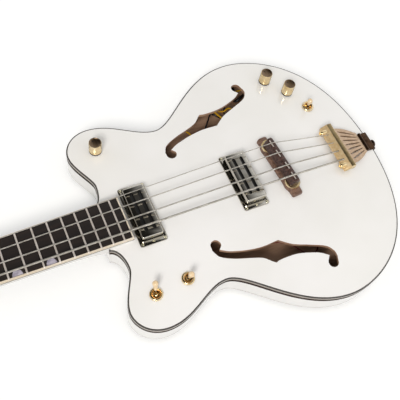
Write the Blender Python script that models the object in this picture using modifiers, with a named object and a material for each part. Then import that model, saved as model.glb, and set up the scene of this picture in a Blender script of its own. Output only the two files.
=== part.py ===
"""Hollow-body electric bass guitar, lying on its back.

Metres, +X from the neck to the tail, +Y to the thin strings, +Z out of the top.
The origin is on the flat of the back, straight below the middle of the bridge.
"""

import math

import bmesh
import bpy
import numpy as np
from mathutils import Matrix, Vector

MM = 0.001
DEGREE = math.pi / 180

# Clearances
GAP = 0.3 * MM
RUNNING_GAP = 0.4 * MM
BLEND = 0.1 * MM

# Body outline, one half: where it is widest and narrowest
TAIL_X = 147 * MM
LOWER_BOUT_X = 4.8 * MM
LOWER_BOUT_HALF_WIDTH = 194.7 * MM
WAIST_X = -141.7 * MM
WAIST_HALF_WIDTH = 118.6 * MM
HORN_SIDE_X = -229 * MM
HORN_HALF_WIDTH = 149.4 * MM
HORN_TIP_X = -268.6 * MM
HORN_TIP_Y = 115.3 * MM
CUTAWAY_X = -248.8 * MM
CUTAWAY_Y = 61 * MM
NECK_END_X = -263 * MM
NECK_END_HALF_WIDTH = 32 * MM

# Body walls
RIM_DEPTH = 36 * MM
TOP_ARCH = 5.5 * MM
BACK_ARCH = 5 * MM
ARCH_WIDTH = 85 * MM
TOP_THICKNESS = 5 * MM
BACK_THICKNESS = 4.5 * MM
RIM_THICKNESS = 3 * MM
LINING_WIDTH = 5 * MM
LINING_HEIGHT = 9 * MM
BINDING_THICKNESS = 2.2 * MM
TOP_GRID = 26 * MM
BACK_GRID = 34 * MM
NECK_BLOCK_WIDTH = 76 * MM
TAIL_BLOCK_WIDTH = 64 * MM
TAIL_BLOCK_LENGTH = 24 * MM
BRACE_START_X = -186 * MM
BRACE_END_X = 84 * MM
BRACE_Y = 54 * MM
BRACE_WIDTH = 8 * MM
BRACE_HEIGHT = 12 * MM

# F-holes, on the thin-string side; the other one mirrors them
F_EYE_RADIUS = 7 * MM
F_NECK_EYE = (-136 * MM, 72.5 * MM)
F_TAIL_EYE = (-1.5 * MM, 148 * MM)
F_INNER_SIDE = (
    (-133.5, 79.5), (-124, 85), (-112, 89.2), (-100, 92.5), (-80, 95.5), (-57, 94.8),
    (-50, 100.5), (-40, 107.5), (-20, 116), (0, 125.5), (7, 135), (7.5, 142),
)
F_OUTER_SIDE = (
    (-2.5, 138), (-12, 131), (-30, 124), (-45, 120.5), (-65, 120), (-72.5, 121.4),
    (-77, 117.5), (-85, 110), (-100, 104), (-120, 97.3), (-137.5, 88), (-143.2, 77.5),
)

# Scale and neck. The scale line lies in the plane of the fretboard.
SCALE = 864 * MM
FRET_COUNT = 22
BOARD_SLOPE = 0.03
BOARD_ABOVE_EDGE = 14.5 * MM
BOARD_THICKNESS = 6 * MM
BOARD_RADIUS = 330 * MM
BOARD_END_PAST_FRET = 12 * MM
NUT_HALF_WIDTH = 21 * MM
LAST_FRET_HALF_WIDTH = 31 * MM
BOARD_BINDING = 1.8 * MM
FRET_WIDTH = 2.6 * MM
FRET_HEIGHT = 1.1 * MM
NUT_THICKNESS = 5 * MM
NECK_DEPTH_AT_NUT = 15 * MM
NECK_DEPTH_AT_HEEL = 18 * MM
NECK_SHOULDER = 1.5 * MM
HEEL_LENGTH = 62 * MM
HEEL_ABOVE_BACK = 16 * MM
TENON_WIDTH = 34 * MM
TENON_LENGTH = 22 * MM
TENON_HEIGHT = 13 * MM
TRUSS_ROD = 6 * MM
TRUSS_CHANNEL_DEPTH = 9 * MM
TRUSS_POCKET = (24 * MM, 12 * MM, 6 * MM)

# Headstock
HEAD_STEP = 9 * MM
HEAD_THICKNESS = 13.5 * MM
HEAD_LENGTH = 190 * MM
HEAD_HALF_WIDTH = 38 * MM
COVER_LENGTH = 46 * MM
COVER_HALF_WIDTH = 10 * MM
COVER_THICKNESS = 2 * MM

# Strings, thin to thick
STRING_NAMES = ("g", "d", "a", "e")
STRING_RADII = (0.55 * MM, 0.75 * MM, 0.95 * MM, 1.3 * MM)
STRING_UNDER_NUT = 2 * MM
STRING_UNDER_SADDLE = 27.6 * MM
NUT_OUTER_Y = 16.4 * MM
NUT_INNER_Y = 5.5 * MM
SADDLE_OUTER_Y = 27.8 * MM
SADDLE_INNER_Y = 10.7 * MM
ANCHOR_OUTER_Y = 21.3 * MM
ANCHOR_INNER_Y = 7.1 * MM

# Tuners, in the fretboard's frame, measured back from the nut
NEAR_POST = (62 * MM, 24.5 * MM)
FAR_POST = (128 * MM, 25.5 * MM)
POST_RADIUS = 5 * MM
POST_WAIST = 4 * MM
POST_HEIGHT = 21 * MM
WRAP_HEIGHT = 11 * MM
GEAR_RADIUS = 9 * MM
GEAR_THICKNESS = 4 * MM
WORM_RADIUS = 3.5 * MM
WORM_LENGTH = 11 * MM
KEY_SHAFT = 2.5 * MM
KEY_REACH = 27 * MM
BUTTON_RADIUS = 13 * MM
BUTTON_THICKNESS = 7 * MM
HOUSING_THICKNESS = 2 * MM
HOUSING_WIDTH = 27 * MM
EAR_THICKNESS = 3 * MM
EAR_MARGIN = 3.2 * MM

# Pickups
NECK_PICKUP_X = -207.5 * MM
BRIDGE_PICKUP_X = -61.5 * MM
PICKUP_FRAME_LENGTH = 37 * MM
PICKUP_FRAME_WIDTH = 87 * MM
PICKUP_FRAME_WALL = 4 * MM
PICKUP_FRAME_RISE = 2.6 * MM
PICKUP_CORNER = 3 * MM
COVER_BELOW_STRINGS = 5.5 * MM
COVER_DEPTH = 20 * MM
COVER_WALL = 1 * MM
SLOT_LENGTH = 57 * MM
SLOT_WIDTH = 4.6 * MM
SLOT_SPACING = 11 * MM

# Bridge
BRIDGE_X = -5 * MM
BRIDGE_Y = 2.4 * MM
BRIDGE_TURN = 4.5 * DEGREE
BRIDGE_FOOT = 49 * MM
BRIDGE_FOOT_WIDTH = 16 * MM
BRIDGE_FOOT_HEIGHT = 5.9 * MM
BRIDGE_BODY_WIDTH = 20 * MM
BRIDGE_BODY_HEIGHT = 7.5 * MM
BRIDGE_BODY_HALF = 40 * MM
THUMBWHEEL_Y = 31 * MM
THUMBWHEEL_RADIUS = 10.5 * MM
THUMBWHEEL_THICKNESS = 3 * MM
BRIDGE_POST_RADIUS = 2.5 * MM
BRIDGE_POST_IN_SADDLE = 4 * MM
SADDLE_HALF_LENGTH = 37 * MM
SADDLE_BASE_WIDTH = 12 * MM
SADDLE_CROWN_WIDTH = 6 * MM
SADDLE_INSERT = (7 * MM, 2.6 * MM, 1 * MM)

# Tailpiece
BAR_FRONT_X = 78.5 * MM
BAR_RIDGE_X = 87.5 * MM
BAR_REAR_X = 95.5 * MM
BAR_HALF_LENGTH = 36.8 * MM
BAR_TOP = 19.5 * MM
BAR_FRONT_TOP = 13.5 * MM
BAR_BOTTOM = 9.5 * MM
LUG_Y = 28.5 * MM
LUG_RADIUS = 4.3 * MM
LUG_REACH = 4 * MM
ANCHOR_DEPTH = 4.5 * MM
FRAME_FRONT_HALF = 30 * MM
FRAME_REAR_HALF = 16.5 * MM
FRAME_THICKNESS = 3 * MM
FRAME_FRONT_Z = 14 * MM
FRAME_REAR_Z = 4.6 * MM
FRAME_BORDER = 4.5 * MM
FRAME_OPENINGS = 5
FRAME_ROD = 2.6 * MM
BRACKET_FRONT_X = 136 * MM
BRACKET_HALF_WIDTH = 16 * MM
BRACKET_THICKNESS = 2 * MM
BRACKET_DROP = 27 * MM
ROLL_RADIUS = 2.6 * MM

# Knobs, switches, jack and strap buttons
KNOB_PLACES = (
    ("horn", HORN_SIDE_X - 1.5 * MM, HORN_HALF_WIDTH - 37.4 * MM),
    ("front", LOWER_BOUT_X + 40.9 * MM, LOWER_BOUT_HALF_WIDTH - 48.4 * MM),
    ("rear", LOWER_BOUT_X + 64.1 * MM, LOWER_BOUT_HALF_WIDTH - 77.9 * MM),
)
KNOB_RADIUS = 8.5 * MM
KNOB_HEIGHT = 19 * MM
KNOB_LIFT = 0.6 * MM
KNOB_RECESS_RADIUS = 6.4 * MM
KNOB_RECESS = 4.5 * MM
POT_RADIUS = 11.5 * MM
POT_HEIGHT = 9 * MM
BUSHING_RADIUS = 4.7 * MM
POT_NUT_RADIUS = 5.8 * MM
SHAFT_RADIUS = 3 * MM
SHAFT_HEIGHT = 15 * MM
SWITCH_FROM_BRACE = 28.1 * MM
SWITCH_PLACES = (
    ("horn", HORN_SIDE_X - 1.8 * MM, 44.3 * MM - HORN_HALF_WIDTH, 84 * DEGREE, 22 * DEGREE),
    ("waist", WAIST_X - 45.2 * MM, 18 * MM - WAIST_HALF_WIDTH, 300 * DEGREE, 8 * DEGREE),
    ("tail", LOWER_BOUT_X + 81.3 * MM, BRACE_Y + SWITCH_FROM_BRACE, 220 * DEGREE, 12 * DEGREE),
)
SWITCH_RING_RADIUS = 8.6 * MM
SWITCH_RING_HEIGHT = 3 * MM
SWITCH_BORE = 4.6 * MM
SWITCH_BUSHING = 6 * MM
SWITCH_BODY_RADIUS = 9 * MM
SWITCH_BODY_HEIGHT = 14 * MM
LEVER_PIVOT_DEPTH = 1.5 * MM
LEVER_BALL = 3 * MM
LEVER_ROOT_RADIUS = 1.5 * MM
LEVER_TIP_RADIUS = 3.8 * MM
LEVER_LENGTH = 24 * MM
LEVER_TIP_LENGTH = 14.5 * MM
JACK_BELOW_EDGE = 18 * MM
JACK_NUT_RADIUS = 9 * MM
JACK_NUT_HEIGHT = 2.6 * MM
JACK_BARREL_RADIUS = 6 * MM
JACK_LENGTH = 24 * MM
JACK_BORE = 3.3 * MM
STRAP_PIN_BELOW_EDGE = 12 * MM
STRAP_HEAD_RADIUS = 7 * MM
STRAP_NECK_RADIUS = 3.2 * MM
STRAP_LENGTH = 11 * MM
STRAP_SCREW_RADIUS = 2.2 * MM
STRAP_SCREW_LENGTH = 22 * MM
HEEL_BUTTON_FROM_BODY = 17 * MM

# Wiring, one lead that runs from the front pickup past the switch and knobs to the jack
WIRE_RADIUS = 1.6 * MM

# Heights that follow from the sizes above
EDGE_Z = BACK_ARCH + RIM_DEPTH
SURFACE_Z = EDGE_Z + TOP_ARCH
BACK_INSIDE_Z = BACK_ARCH + BACK_THICKNESS
RIM_BOTTOM = BACK_ARCH + BACK_THICKNESS + GAP
RIM_TOP = EDGE_Z - TOP_THICKNESS - GAP
LAST_FRET_X = -SCALE * 2 ** (-FRET_COUNT / 12)
SCALE_Z = EDGE_Z + BOARD_ABOVE_EDGE - LAST_FRET_X * BOARD_SLOPE
BOARD_END_X = LAST_FRET_X + BOARD_END_PAST_FRET
NECK_TOP = -BOARD_THICKNESS - GAP
HEAD_BACK = -HEAD_STEP - HEAD_THICKNESS


def clear_scene():
    for old in list(bpy.data.objects):
        bpy.data.objects.remove(old, do_unlink=True)


def collection(name, hidden=False):
    made = bpy.data.collections.new(name)
    bpy.context.scene.collection.children.link(made)
    made.hide_render = hidden
    return made


clear_scene()
PARTS = collection("bass_guitar")
CUTTERS = collection("cutters", hidden=True)


def material(name, colour, roughness, metallic=0.0):
    made = bpy.data.materials.new(name)
    made.use_nodes = True
    shader = made.node_tree.nodes["Principled BSDF"]
    shader.inputs["Base Color"].default_value = (*colour, 1)
    shader.inputs["Roughness"].default_value = roughness
    shader.inputs["Metallic"].default_value = metallic
    made.diffuse_color = (*colour, 1)
    return made


WHITE_LACQUER = material("white_lacquer", (0.86, 0.84, 0.80), 0.2)
BLACK_BINDING = material("black_binding", (0.03, 0.025, 0.025), 0.35)
SPRUCE = material("spruce", (0.42, 0.28, 0.16), 0.7)
DARK_BOARD = material("dark_fretboard", (0.025, 0.012, 0.008), 0.45)
CREAM_BINDING = material("cream_binding", (0.80, 0.72, 0.58), 0.4)
BONE = material("bone", (0.85, 0.80, 0.68), 0.4)
ROSEWOOD = material("rosewood", (0.10, 0.035, 0.022), 0.45)
GOLD = material("gold_plate", (0.72, 0.52, 0.22), 0.22, 1.0)
CHROME = material("chrome", (0.62, 0.62, 0.60), 0.12, 1.0)
STEEL = material("steel", (0.45, 0.43, 0.40), 0.3, 1.0)
BLACK_PLASTIC = material("black_plastic", (0.02, 0.02, 0.02), 0.4)
IVORY = material("ivory_plastic", (0.88, 0.72, 0.50), 0.35)
CABLE = material("cable", (0.70, 0.50, 0.06), 0.5)


def add_object(name, mesh, finish=None, parent=None, smooth=True):
    """A part, or a hidden cutter where no finish is given."""
    made = bpy.data.objects.new(name, mesh)
    if finish:
        mesh.materials.clear()
        mesh.materials.append(finish)
        PARTS.objects.link(made)
    else:
        CUTTERS.objects.link(made)
        made.hide_render = True
        made.display_type = "WIRE"
    if smooth:
        mesh.shade_smooth()
        mesh.set_sharp_from_angle(angle=35 * DEGREE)
    made.parent = parent
    return made


def turn_faces_out(bm):
    bmesh.ops.recalc_face_normals(bm, faces=bm.faces)
    if bm.calc_volume(signed=True) < 0:
        bmesh.ops.reverse_faces(bm, faces=bm.faces)


def from_bmesh(name, bm, finish=None, parent=None, smooth=True):
    turn_faces_out(bm)
    mesh = bpy.data.meshes.new(name)
    bm.to_mesh(mesh)
    bm.free()
    return add_object(name, mesh, finish, parent, smooth)


def empty(name, location, rotation=(0, 0, 0), parent=None):
    made = bpy.data.objects.new(name, None)
    PARTS.objects.link(made)
    made.location = location
    made.rotation_euler = rotation
    made.parent = parent
    return made


def update():
    bpy.context.view_layer.update()


def evaluated_mesh(obj):
    update()
    graph = bpy.context.evaluated_depsgraph_get()
    return bpy.data.meshes.new_from_object(obj.evaluated_get(graph))


def welded_from_curve(guide, name, finish=None, parent=None, smooth=True):
    """The curve object as one closed mesh object, with its caps joined on."""
    mesh = evaluated_mesh(guide)
    bm = bmesh.new()
    bm.from_mesh(mesh)
    bmesh.ops.remove_doubles(bm, verts=bm.verts, dist=1e-6)
    bpy.data.meshes.remove(mesh)
    bpy.data.objects.remove(guide, do_unlink=True)
    return from_bmesh(name, bm, finish, parent, smooth)


def plate(name, outlines, bottom, top, finish=None, parent=None, smooth=True):
    """Flat outlines, the first one's outside and the others holes, from bottom to top."""
    curve = bpy.data.curves.new(name, "CURVE")
    curve.dimensions = "2D"
    curve.fill_mode = "BOTH"
    curve.extrude = (top - bottom) / 2
    for outline in outlines:
        spline = curve.splines.new("POLY")
        spline.points.add(len(outline) - 1)
        for point, (x, y) in zip(spline.points, outline):
            point.co = (x, y, 0, 1)
        spline.use_cyclic_u = True
    guide = bpy.data.objects.new(name, curve)
    bpy.context.scene.collection.objects.link(guide)
    made = welded_from_curve(guide, name, finish, parent, smooth)
    made.data.transform(Matrix.Translation((0, 0, (top + bottom) / 2)))
    return made


def box(name, low, high, finish=None, parent=None):
    """A block between two corners."""
    bm = bmesh.new()
    bmesh.ops.create_cube(bm, size=1)
    size = Vector(high) - Vector(low)
    middle = (Vector(high) + Vector(low)) / 2
    bmesh.ops.scale(bm, vec=size, verts=bm.verts)
    bmesh.ops.translate(bm, vec=middle, verts=bm.verts)
    return from_bmesh(name, bm, finish, parent, smooth=False)


def turned(name, profile, finish=None, parent=None, steps=20, closed=False):
    """A profile of (radius, height) from top to bottom, turned about Z."""
    mesh = bpy.data.meshes.new(name)
    points = [(radius, 0, height) for radius, height in profile]
    edges = [(i, i + 1) for i in range(len(points) - 1)]
    if closed:
        edges.append((len(points) - 1, 0))
    mesh.from_pydata(points, edges, [])
    made = add_object(name, mesh, finish, parent, smooth=False)
    screw = made.modifiers.new("Screw", "SCREW")
    screw.steps = steps
    screw.render_steps = steps
    screw.use_merge_vertices = True
    screw.merge_threshold = 1e-6
    screw.use_smooth_shade = True
    baked(made)
    return made


def baked(made):
    """Puts the object's modifiers into its mesh, with its faces turned out."""
    mesh = evaluated_mesh(made)
    made.modifiers.clear()
    bm = bmesh.new()
    bm.from_mesh(mesh)
    turn_faces_out(bm)
    bm.to_mesh(mesh)
    bm.free()
    old = made.data
    made.data = mesh
    bpy.data.meshes.remove(old)
    mesh.shade_smooth()
    mesh.set_sharp_from_angle(angle=35 * DEGREE)


def place(made, location=(0, 0, 0), rotation=(0, 0, 0)):
    made.location = location
    made.rotation_euler = rotation
    return made


def combine(target, other, operation):
    step = target.modifiers.new(f"{operation.lower()} {other.name}", "BOOLEAN")
    step.operation = operation
    step.object = other
    step.solver = "EXACT"
    return target


def cut(target, *cutters):
    for cutter in cutters:
        combine(target, cutter, "DIFFERENCE")
    return target


def join(target, *others):
    for other in others:
        combine(target, other, "UNION")
    return target


def tube(name, points, radius, finish=None, parent=None, resolution=1, smooth=True):
    """A round bar through the points."""
    curve = bpy.data.curves.new(name, "CURVE")
    curve.dimensions = "3D"
    curve.bevel_depth = radius
    curve.bevel_resolution = resolution
    curve.use_fill_caps = True
    spline = curve.splines.new("POLY")
    spline.points.add(len(points) - 1)
    for point, place_at in zip(spline.points, points):
        point.co = (*place_at, 1)
    guide = bpy.data.objects.new(name, curve)
    bpy.context.scene.collection.objects.link(guide)
    return welded_from_curve(guide, name, finish, parent, smooth)


def rod(name, start, end, radius, finish=None, parent=None, sides=20):
    """A straight cylinder from start to end."""
    start, end = Vector(start), Vector(end)
    bm = bmesh.new()
    bmesh.ops.create_cone(
        bm, cap_ends=True, segments=sides, radius1=radius, radius2=radius,
        depth=(end - start).length,
    )
    turn = (end - start).to_track_quat("Z", "Y").to_matrix().to_4x4()
    bm.transform(Matrix.Translation((start + end) / 2) @ turn)
    return from_bmesh(name, bm, finish, parent)


def loft(name, sections, finish=None, parent=None, smooth=True):
    """A skin over rings of points that all have the same count, closed at both ends."""
    bm = bmesh.new()
    rings = [[bm.verts.new(point) for point in section] for section in sections]
    for ring, following in zip(rings, rings[1:]):
        for i in range(len(ring)):
            j = (i + 1) % len(ring)
            bm.faces.new((ring[i], ring[j], following[j], following[i]))
    bm.faces.new(reversed(rings[0]))
    bm.faces.new(rings[-1])
    return from_bmesh(name, bm, finish, parent, smooth)


def arc(centre, radius, start, end, count):
    """Points on a circle, from the start angle to the end angle."""
    angles = [start + (end - start) * i / (count - 1) for i in range(count)]
    return [
        (centre[0] + radius * math.cos(a), centre[1] + radius * math.sin(a))
        for a in angles
    ]


def bezier(start, first, second, end, count):
    """Points from start up to, but not at, end."""
    made = []
    for i in range(count):
        t = i / count
        weights = ((1 - t) ** 3, 3 * t * (1 - t) ** 2, 3 * t * t * (1 - t), t ** 3)
        made.append(tuple(
            sum(w * p[axis] for w, p in zip(weights, (start, first, second, end)))
            for axis in (0, 1)
        ))
    return made


def stretch(knot, following, reach, back, count):
    """One curve of the outline between two knots of (x, y, travel along x or y).

    reach and back are the handles' lengths, as shares of the way between the knots
    along the direction that each knot is travelled in.
    """
    (x0, y0, along0), (x1, y1, along1) = knot, following
    dx, dy = x1 - x0, y1 - y0
    first = (x0 + dx * reach, y0) if along0 == "x" else (x0, y0 + dy * reach)
    second = (x1 - dx * back, y1) if along1 == "x" else (x1, y1 - dy * back)
    return bezier((x0, y0), first, second, (x1, y1), count)


def body_outline():
    """The body seen from the top, anticlockwise from the middle of the tail."""
    tail = (TAIL_X, 0, "y")
    bout = (LOWER_BOUT_X, LOWER_BOUT_HALF_WIDTH, "x")
    waist = (WAIST_X, WAIST_HALF_WIDTH, "x")
    horn = (HORN_SIDE_X, HORN_HALF_WIDTH, "x")
    tip = (HORN_TIP_X, HORN_TIP_Y, "y")
    cutaway = (CUTAWAY_X, CUTAWAY_Y, "y")
    neck = (NECK_END_X, NECK_END_HALF_WIDTH, "x")
    half = (
        stretch(tail, bout, 0.83, 0.285, 13)
        + stretch(bout, waist, 0.50, 0.205, 11)
        + stretch(waist, horn, 0.313, 0.405, 7)
        + stretch(horn, tip, 0.68, 0.41, 6)
        + stretch(tip, cutaway, 0.358, 0.212, 6)
        + stretch(cutaway, neck, 0.66, 0.42, 5)
        + [neck[:2]]
    )
    other = [(x, -y) for x, y in reversed(half[1:])]
    return half + other


def inset(outline, distance):
    """The outline moved inwards by the distance."""
    points = np.array(outline)
    along = np.roll(points, -1, axis=0) - points
    along /= np.linalg.norm(along, axis=1)[:, None]
    inward = np.column_stack((-along[:, 1], along[:, 0]))
    before = np.roll(inward, 1, axis=0)
    spread = 1 + (inward * before).sum(axis=1)
    moved = points + distance * (inward + before) / spread[:, None]
    return [tuple(point) for point in moved.tolist()]


OUTLINE = body_outline()


def from_edge(x, y):
    """How far the points are from the body's outline."""
    points = np.array(OUTLINE)
    along = np.roll(points, -1, axis=0) - points
    offset = np.column_stack((x, y))[:, None, :] - points[None]
    share = (offset * along).sum(axis=2) / (along ** 2).sum(axis=1)
    nearest = offset - share.clip(0, 1)[..., None] * along
    return np.sqrt((nearest ** 2).sum(axis=2)).min(axis=1)


def arch(x, y):
    """The arch's height over a point, as a share: 0 at the edge, 1 on the flat."""
    share = (from_edge(x, y) / ARCH_WIDTH).clip(0, 1)
    return share * share * (3 - 2 * share)


def arched_slab(name, edge_inset, bottom, top, rise, grid, finish=None):
    """A slab inside the outline, whose two faces follow the arch."""
    prism = plate(name + " outline", [inset(OUTLINE, edge_inset)], bottom - 0.1, top + 0.1)
    length = TAIL_X - HORN_TIP_X
    width = 2 * LOWER_BOUT_HALF_WIDTH
    bm = bmesh.new()
    bmesh.ops.create_grid(
        bm, x_segments=round(length / grid) + 2, y_segments=round(width / grid) + 2, size=0.5
    )
    over = 1.08
    bmesh.ops.scale(bm, vec=(length * over, width * over, 1), verts=bm.verts)
    middle = ((TAIL_X + HORN_TIP_X) / 2, 0, bottom)
    bmesh.ops.translate(bm, vec=middle, verts=bm.verts)
    up = bmesh.ops.extrude_face_region(bm, geom=bm.faces[:])
    raised = [v for v in up["geom"] if isinstance(v, bmesh.types.BMVert)]
    bmesh.ops.translate(bm, vec=(0, 0, top - bottom), verts=raised)
    slab = from_bmesh(name, bm, finish)
    combine(slab, prism, "INTERSECT")
    baked(slab)
    bpy.data.objects.remove(prism, do_unlink=True)
    bm = bmesh.new()
    bm.from_mesh(slab.data)
    bmesh.ops.triangulate(bm, faces=bm.faces)
    x, y = (np.array([v.co[axis] for v in bm.verts]) for axis in (0, 1))
    for vert, lift in zip(bm.verts, arch(x, y)):
        vert.co.z += rise * lift
    bm.to_mesh(slab.data)
    bm.free()
    slab.data.shade_smooth()
    slab.data.set_sharp_from_angle(angle=35 * DEGREE)
    return slab


def hoop(name, profile, finish):
    """A closed band round the body; its profile has points of (inset from the outline, height)."""
    bm = bmesh.new()
    rings = [
        [bm.verts.new((x, y, height)) for x, y in inset(OUTLINE, depth)]
        for depth, height in profile
    ]
    for ring, following in zip(rings, rings[1:] + rings[:1]):
        for i in range(len(ring)):
            j = (i + 1) % len(ring)
            bm.faces.new((ring[i], ring[j], following[j], following[i]))
    return from_bmesh(name, bm, finish)


def f_hole_outline(side):
    """The f-hole as one closed outline, on side 1 or -1."""
    eye = arc(F_NECK_EYE, F_EYE_RADIUS, 160 * DEGREE, 400 * DEGREE, 11)
    inner = [(x * MM, y * MM) for x, y in F_INNER_SIDE]
    end = arc(F_TAIL_EYE, F_EYE_RADIUS, 15 * DEGREE, 235 * DEGREE, 10)
    outer = [(x * MM, y * MM) for x, y in F_OUTER_SIDE]
    return [(x, side * y) for x, y in (eye + inner + end + outer)[::side]]


# Spaces around the plates, which their neighbours are cut by
over_top = arched_slab(
    "space_over_top", -3 * MM, EDGE_Z - 12 * MM, EDGE_Z + GAP, TOP_ARCH, TOP_GRID
)
under_top = arched_slab(
    "space_under_top", -3 * MM, EDGE_Z - TOP_THICKNESS - GAP, EDGE_Z + 12 * MM,
    TOP_ARCH, TOP_GRID,
)
over_back = arched_slab(
    "space_over_back", -3 * MM, -12 * MM, BACK_INSIDE_Z + GAP, -BACK_ARCH, BACK_GRID
)
INSIDE = inset(OUTLINE, RIM_THICKNESS + LINING_WIDTH + GAP)


def top_height(x, y):
    """The height of the top's outside at a point, on its flat facets."""
    start = Vector((x, y, EDGE_Z + 100 * MM))
    _, hit, _, _ = over_top.ray_cast(start, Vector((0, 0, -1)))
    return hit.z - GAP


def lowest_and_highest(x, y, radius):
    """How low and how high the top is under a disc."""
    heights = [top_height(*point) for point in arc((x, y), radius, 0, 2 * math.pi, 17)]
    return min(heights), max(heights)


def drill(name, x, y, radius, bottom, top, sides=20):
    return rod(name, (x, y, bottom), (x, y, top), radius, sides=sides)


def make_plates():
    """The arched top with its holes, and the arched back."""
    edge = BINDING_THICKNESS + GAP
    top = arched_slab(
        "top_plate", edge, EDGE_Z - TOP_THICKNESS, EDGE_Z, TOP_ARCH, TOP_GRID, WHITE_LACQUER
    )
    low, high = EDGE_Z - 20 * MM, EDGE_Z + 20 * MM
    for side in (1, -1):
        cut(top, plate(f"f_hole_{side}", [f_hole_outline(side)], low, high))
    for label, x in (("neck", NECK_PICKUP_X), ("bridge", BRIDGE_PICKUP_X)):
        half_x = PICKUP_FRAME_LENGTH / 2 - PICKUP_FRAME_WALL + GAP
        half_y = PICKUP_FRAME_WIDTH / 2 - PICKUP_FRAME_WALL + GAP
        cut(top, box(f"{label}_pickup_hole", (x - half_x, -half_y, low), (x + half_x, half_y, high)))
    for label, x, y in KNOB_PLACES:
        cut(top, drill(f"{label}_knob_hole", x, y, BUSHING_RADIUS + GAP, low, high, 16))
    for label, x, y, _, _ in SWITCH_PLACES:
        cut(top, drill(f"{label}_switch_hole", x, y, SWITCH_BUSHING + GAP, low, high, 16))
    arched_slab(
        "back_plate", edge, BACK_ARCH, BACK_ARCH + BACK_THICKNESS, -BACK_ARCH,
        BACK_GRID, WHITE_LACQUER,
    )


def make_bindings():
    """A strip round the edge of each plate."""
    for name, low, high in (
        ("top_binding", EDGE_Z - TOP_THICKNESS, EDGE_Z),
        ("back_binding", BACK_ARCH, BACK_ARCH + BACK_THICKNESS),
    ):
        wide = BINDING_THICKNESS
        hoop(name, [(0, low), (0, high), (wide, high), (wide, low)], BLACK_BINDING)


def tenon_hole():
    """The slot that the neck's tenon enters, through the rim and into the block."""
    half = TENON_WIDTH / 2 + GAP
    bottom = RIM_TOP - TENON_HEIGHT - GAP
    end = NECK_END_X + TENON_LENGTH + GAP
    return box("tenon_hole", (NECK_END_X - 10 * MM, -half, bottom), (end, half, EDGE_Z + 10 * MM))


def tail_screw_hole():
    z = EDGE_Z - STRAP_PIN_BELOW_EDGE
    return rod(
        "tail_screw_hole", (TAIL_X - STRAP_SCREW_LENGTH, 0, z), (TAIL_X + 10 * MM, 0, z),
        STRAP_SCREW_RADIUS + GAP, sides=12,
    )


def make_rim_and_blocks():
    """The sides with their linings, and the blocks that take the neck and the strap pin."""
    thin, full = RIM_THICKNESS, RIM_THICKNESS + LINING_WIDTH
    upper, lower = RIM_TOP - LINING_HEIGHT, RIM_BOTTOM + LINING_HEIGHT
    rim = hoop(
        "rim_sides",
        [
            (0, RIM_BOTTOM), (0, RIM_TOP), (full, RIM_TOP), (full, upper),
            (thin, upper), (thin, lower), (full, lower), (full, RIM_BOTTOM),
        ],
        WHITE_LACQUER,
    )
    jack_z = EDGE_Z - JACK_BELOW_EDGE
    rim_y = LOWER_BOUT_HALF_WIDTH
    jack_hole = rod(
        "jack_hole", (LOWER_BOUT_X, rim_y - 20 * MM, jack_z), (LOWER_BOUT_X, rim_y + 5 * MM, jack_z),
        JACK_BARREL_RADIUS + GAP, sides=16,
    )
    slot, screw = tenon_hole(), tail_screw_hole()
    cut(rim, slot, screw, jack_hole)
    inside = plate("space_inside_rim", [INSIDE], 0, EDGE_Z + 20 * MM)
    for name, low_x, high_x, width, hole in (
        ("neck_block", NECK_END_X, NECK_PICKUP_X - PICKUP_FRAME_LENGTH / 2, NECK_BLOCK_WIDTH, slot),
        ("tail_block", TAIL_X - RIM_THICKNESS - LINING_WIDTH - TAIL_BLOCK_LENGTH, TAIL_X,
         TAIL_BLOCK_WIDTH, screw),
    ):
        block = box(
            name, (low_x, -width / 2, BACK_INSIDE_Z - BACK_ARCH),
            (high_x, width / 2, RIM_TOP + TOP_ARCH + 2 * MM), SPRUCE,
        )
        combine(block, inside, "INTERSECT")
        cut(block, under_top, over_back, hole)


def make_braces():
    """Two long bars under the top."""
    for label, side in (("treble", 1), ("bass", -1)):
        y = side * BRACE_Y
        top = EDGE_Z + TOP_ARCH - TOP_THICKNESS
        brace = box(
            f"{label}_brace", (BRACE_START_X, y - BRACE_WIDTH / 2, top - BRACE_HEIGHT),
            (BRACE_END_X, y + BRACE_WIDTH / 2, top + 2 * MM), SPRUCE,
        )
        cut(brace, under_top)


# The frame of the neck: its X axis is the scale line, and its XY plane the fretboard's top
neck_datum = empty("neck_datum", (0, 0, SCALE_Z), (0, -math.atan(BOARD_SLOPE), 0))
update()


def on_neck(x, y, z):
    """A point of the neck's frame, in the body's."""
    return neck_datum.matrix_world @ Vector((x, y, z))


def fret_x(number):
    return -SCALE * 2 ** (-number / 12)


def board_half_width(x):
    """Half of the fretboard's width with its binding."""
    share = (x + SCALE) / (LAST_FRET_X + SCALE)
    return NUT_HALF_WIDTH + (LAST_FRET_HALF_WIDTH - NUT_HALF_WIDTH) * share


def crown(y, height=0.0):
    """The fretboard's curved top, which is highest on the middle line."""
    return height - y * y / (2 * BOARD_RADIUS)


def board_section(x, half, bottom, height=0.0, count=5):
    """Points round a slice of the fretboard."""
    across = [half * (1 - 2 * i / (count - 1)) for i in range(count)]
    return [(x, y, crown(y, height)) for y in across] + [(x, -half, bottom), (x, half, bottom)]


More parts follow.
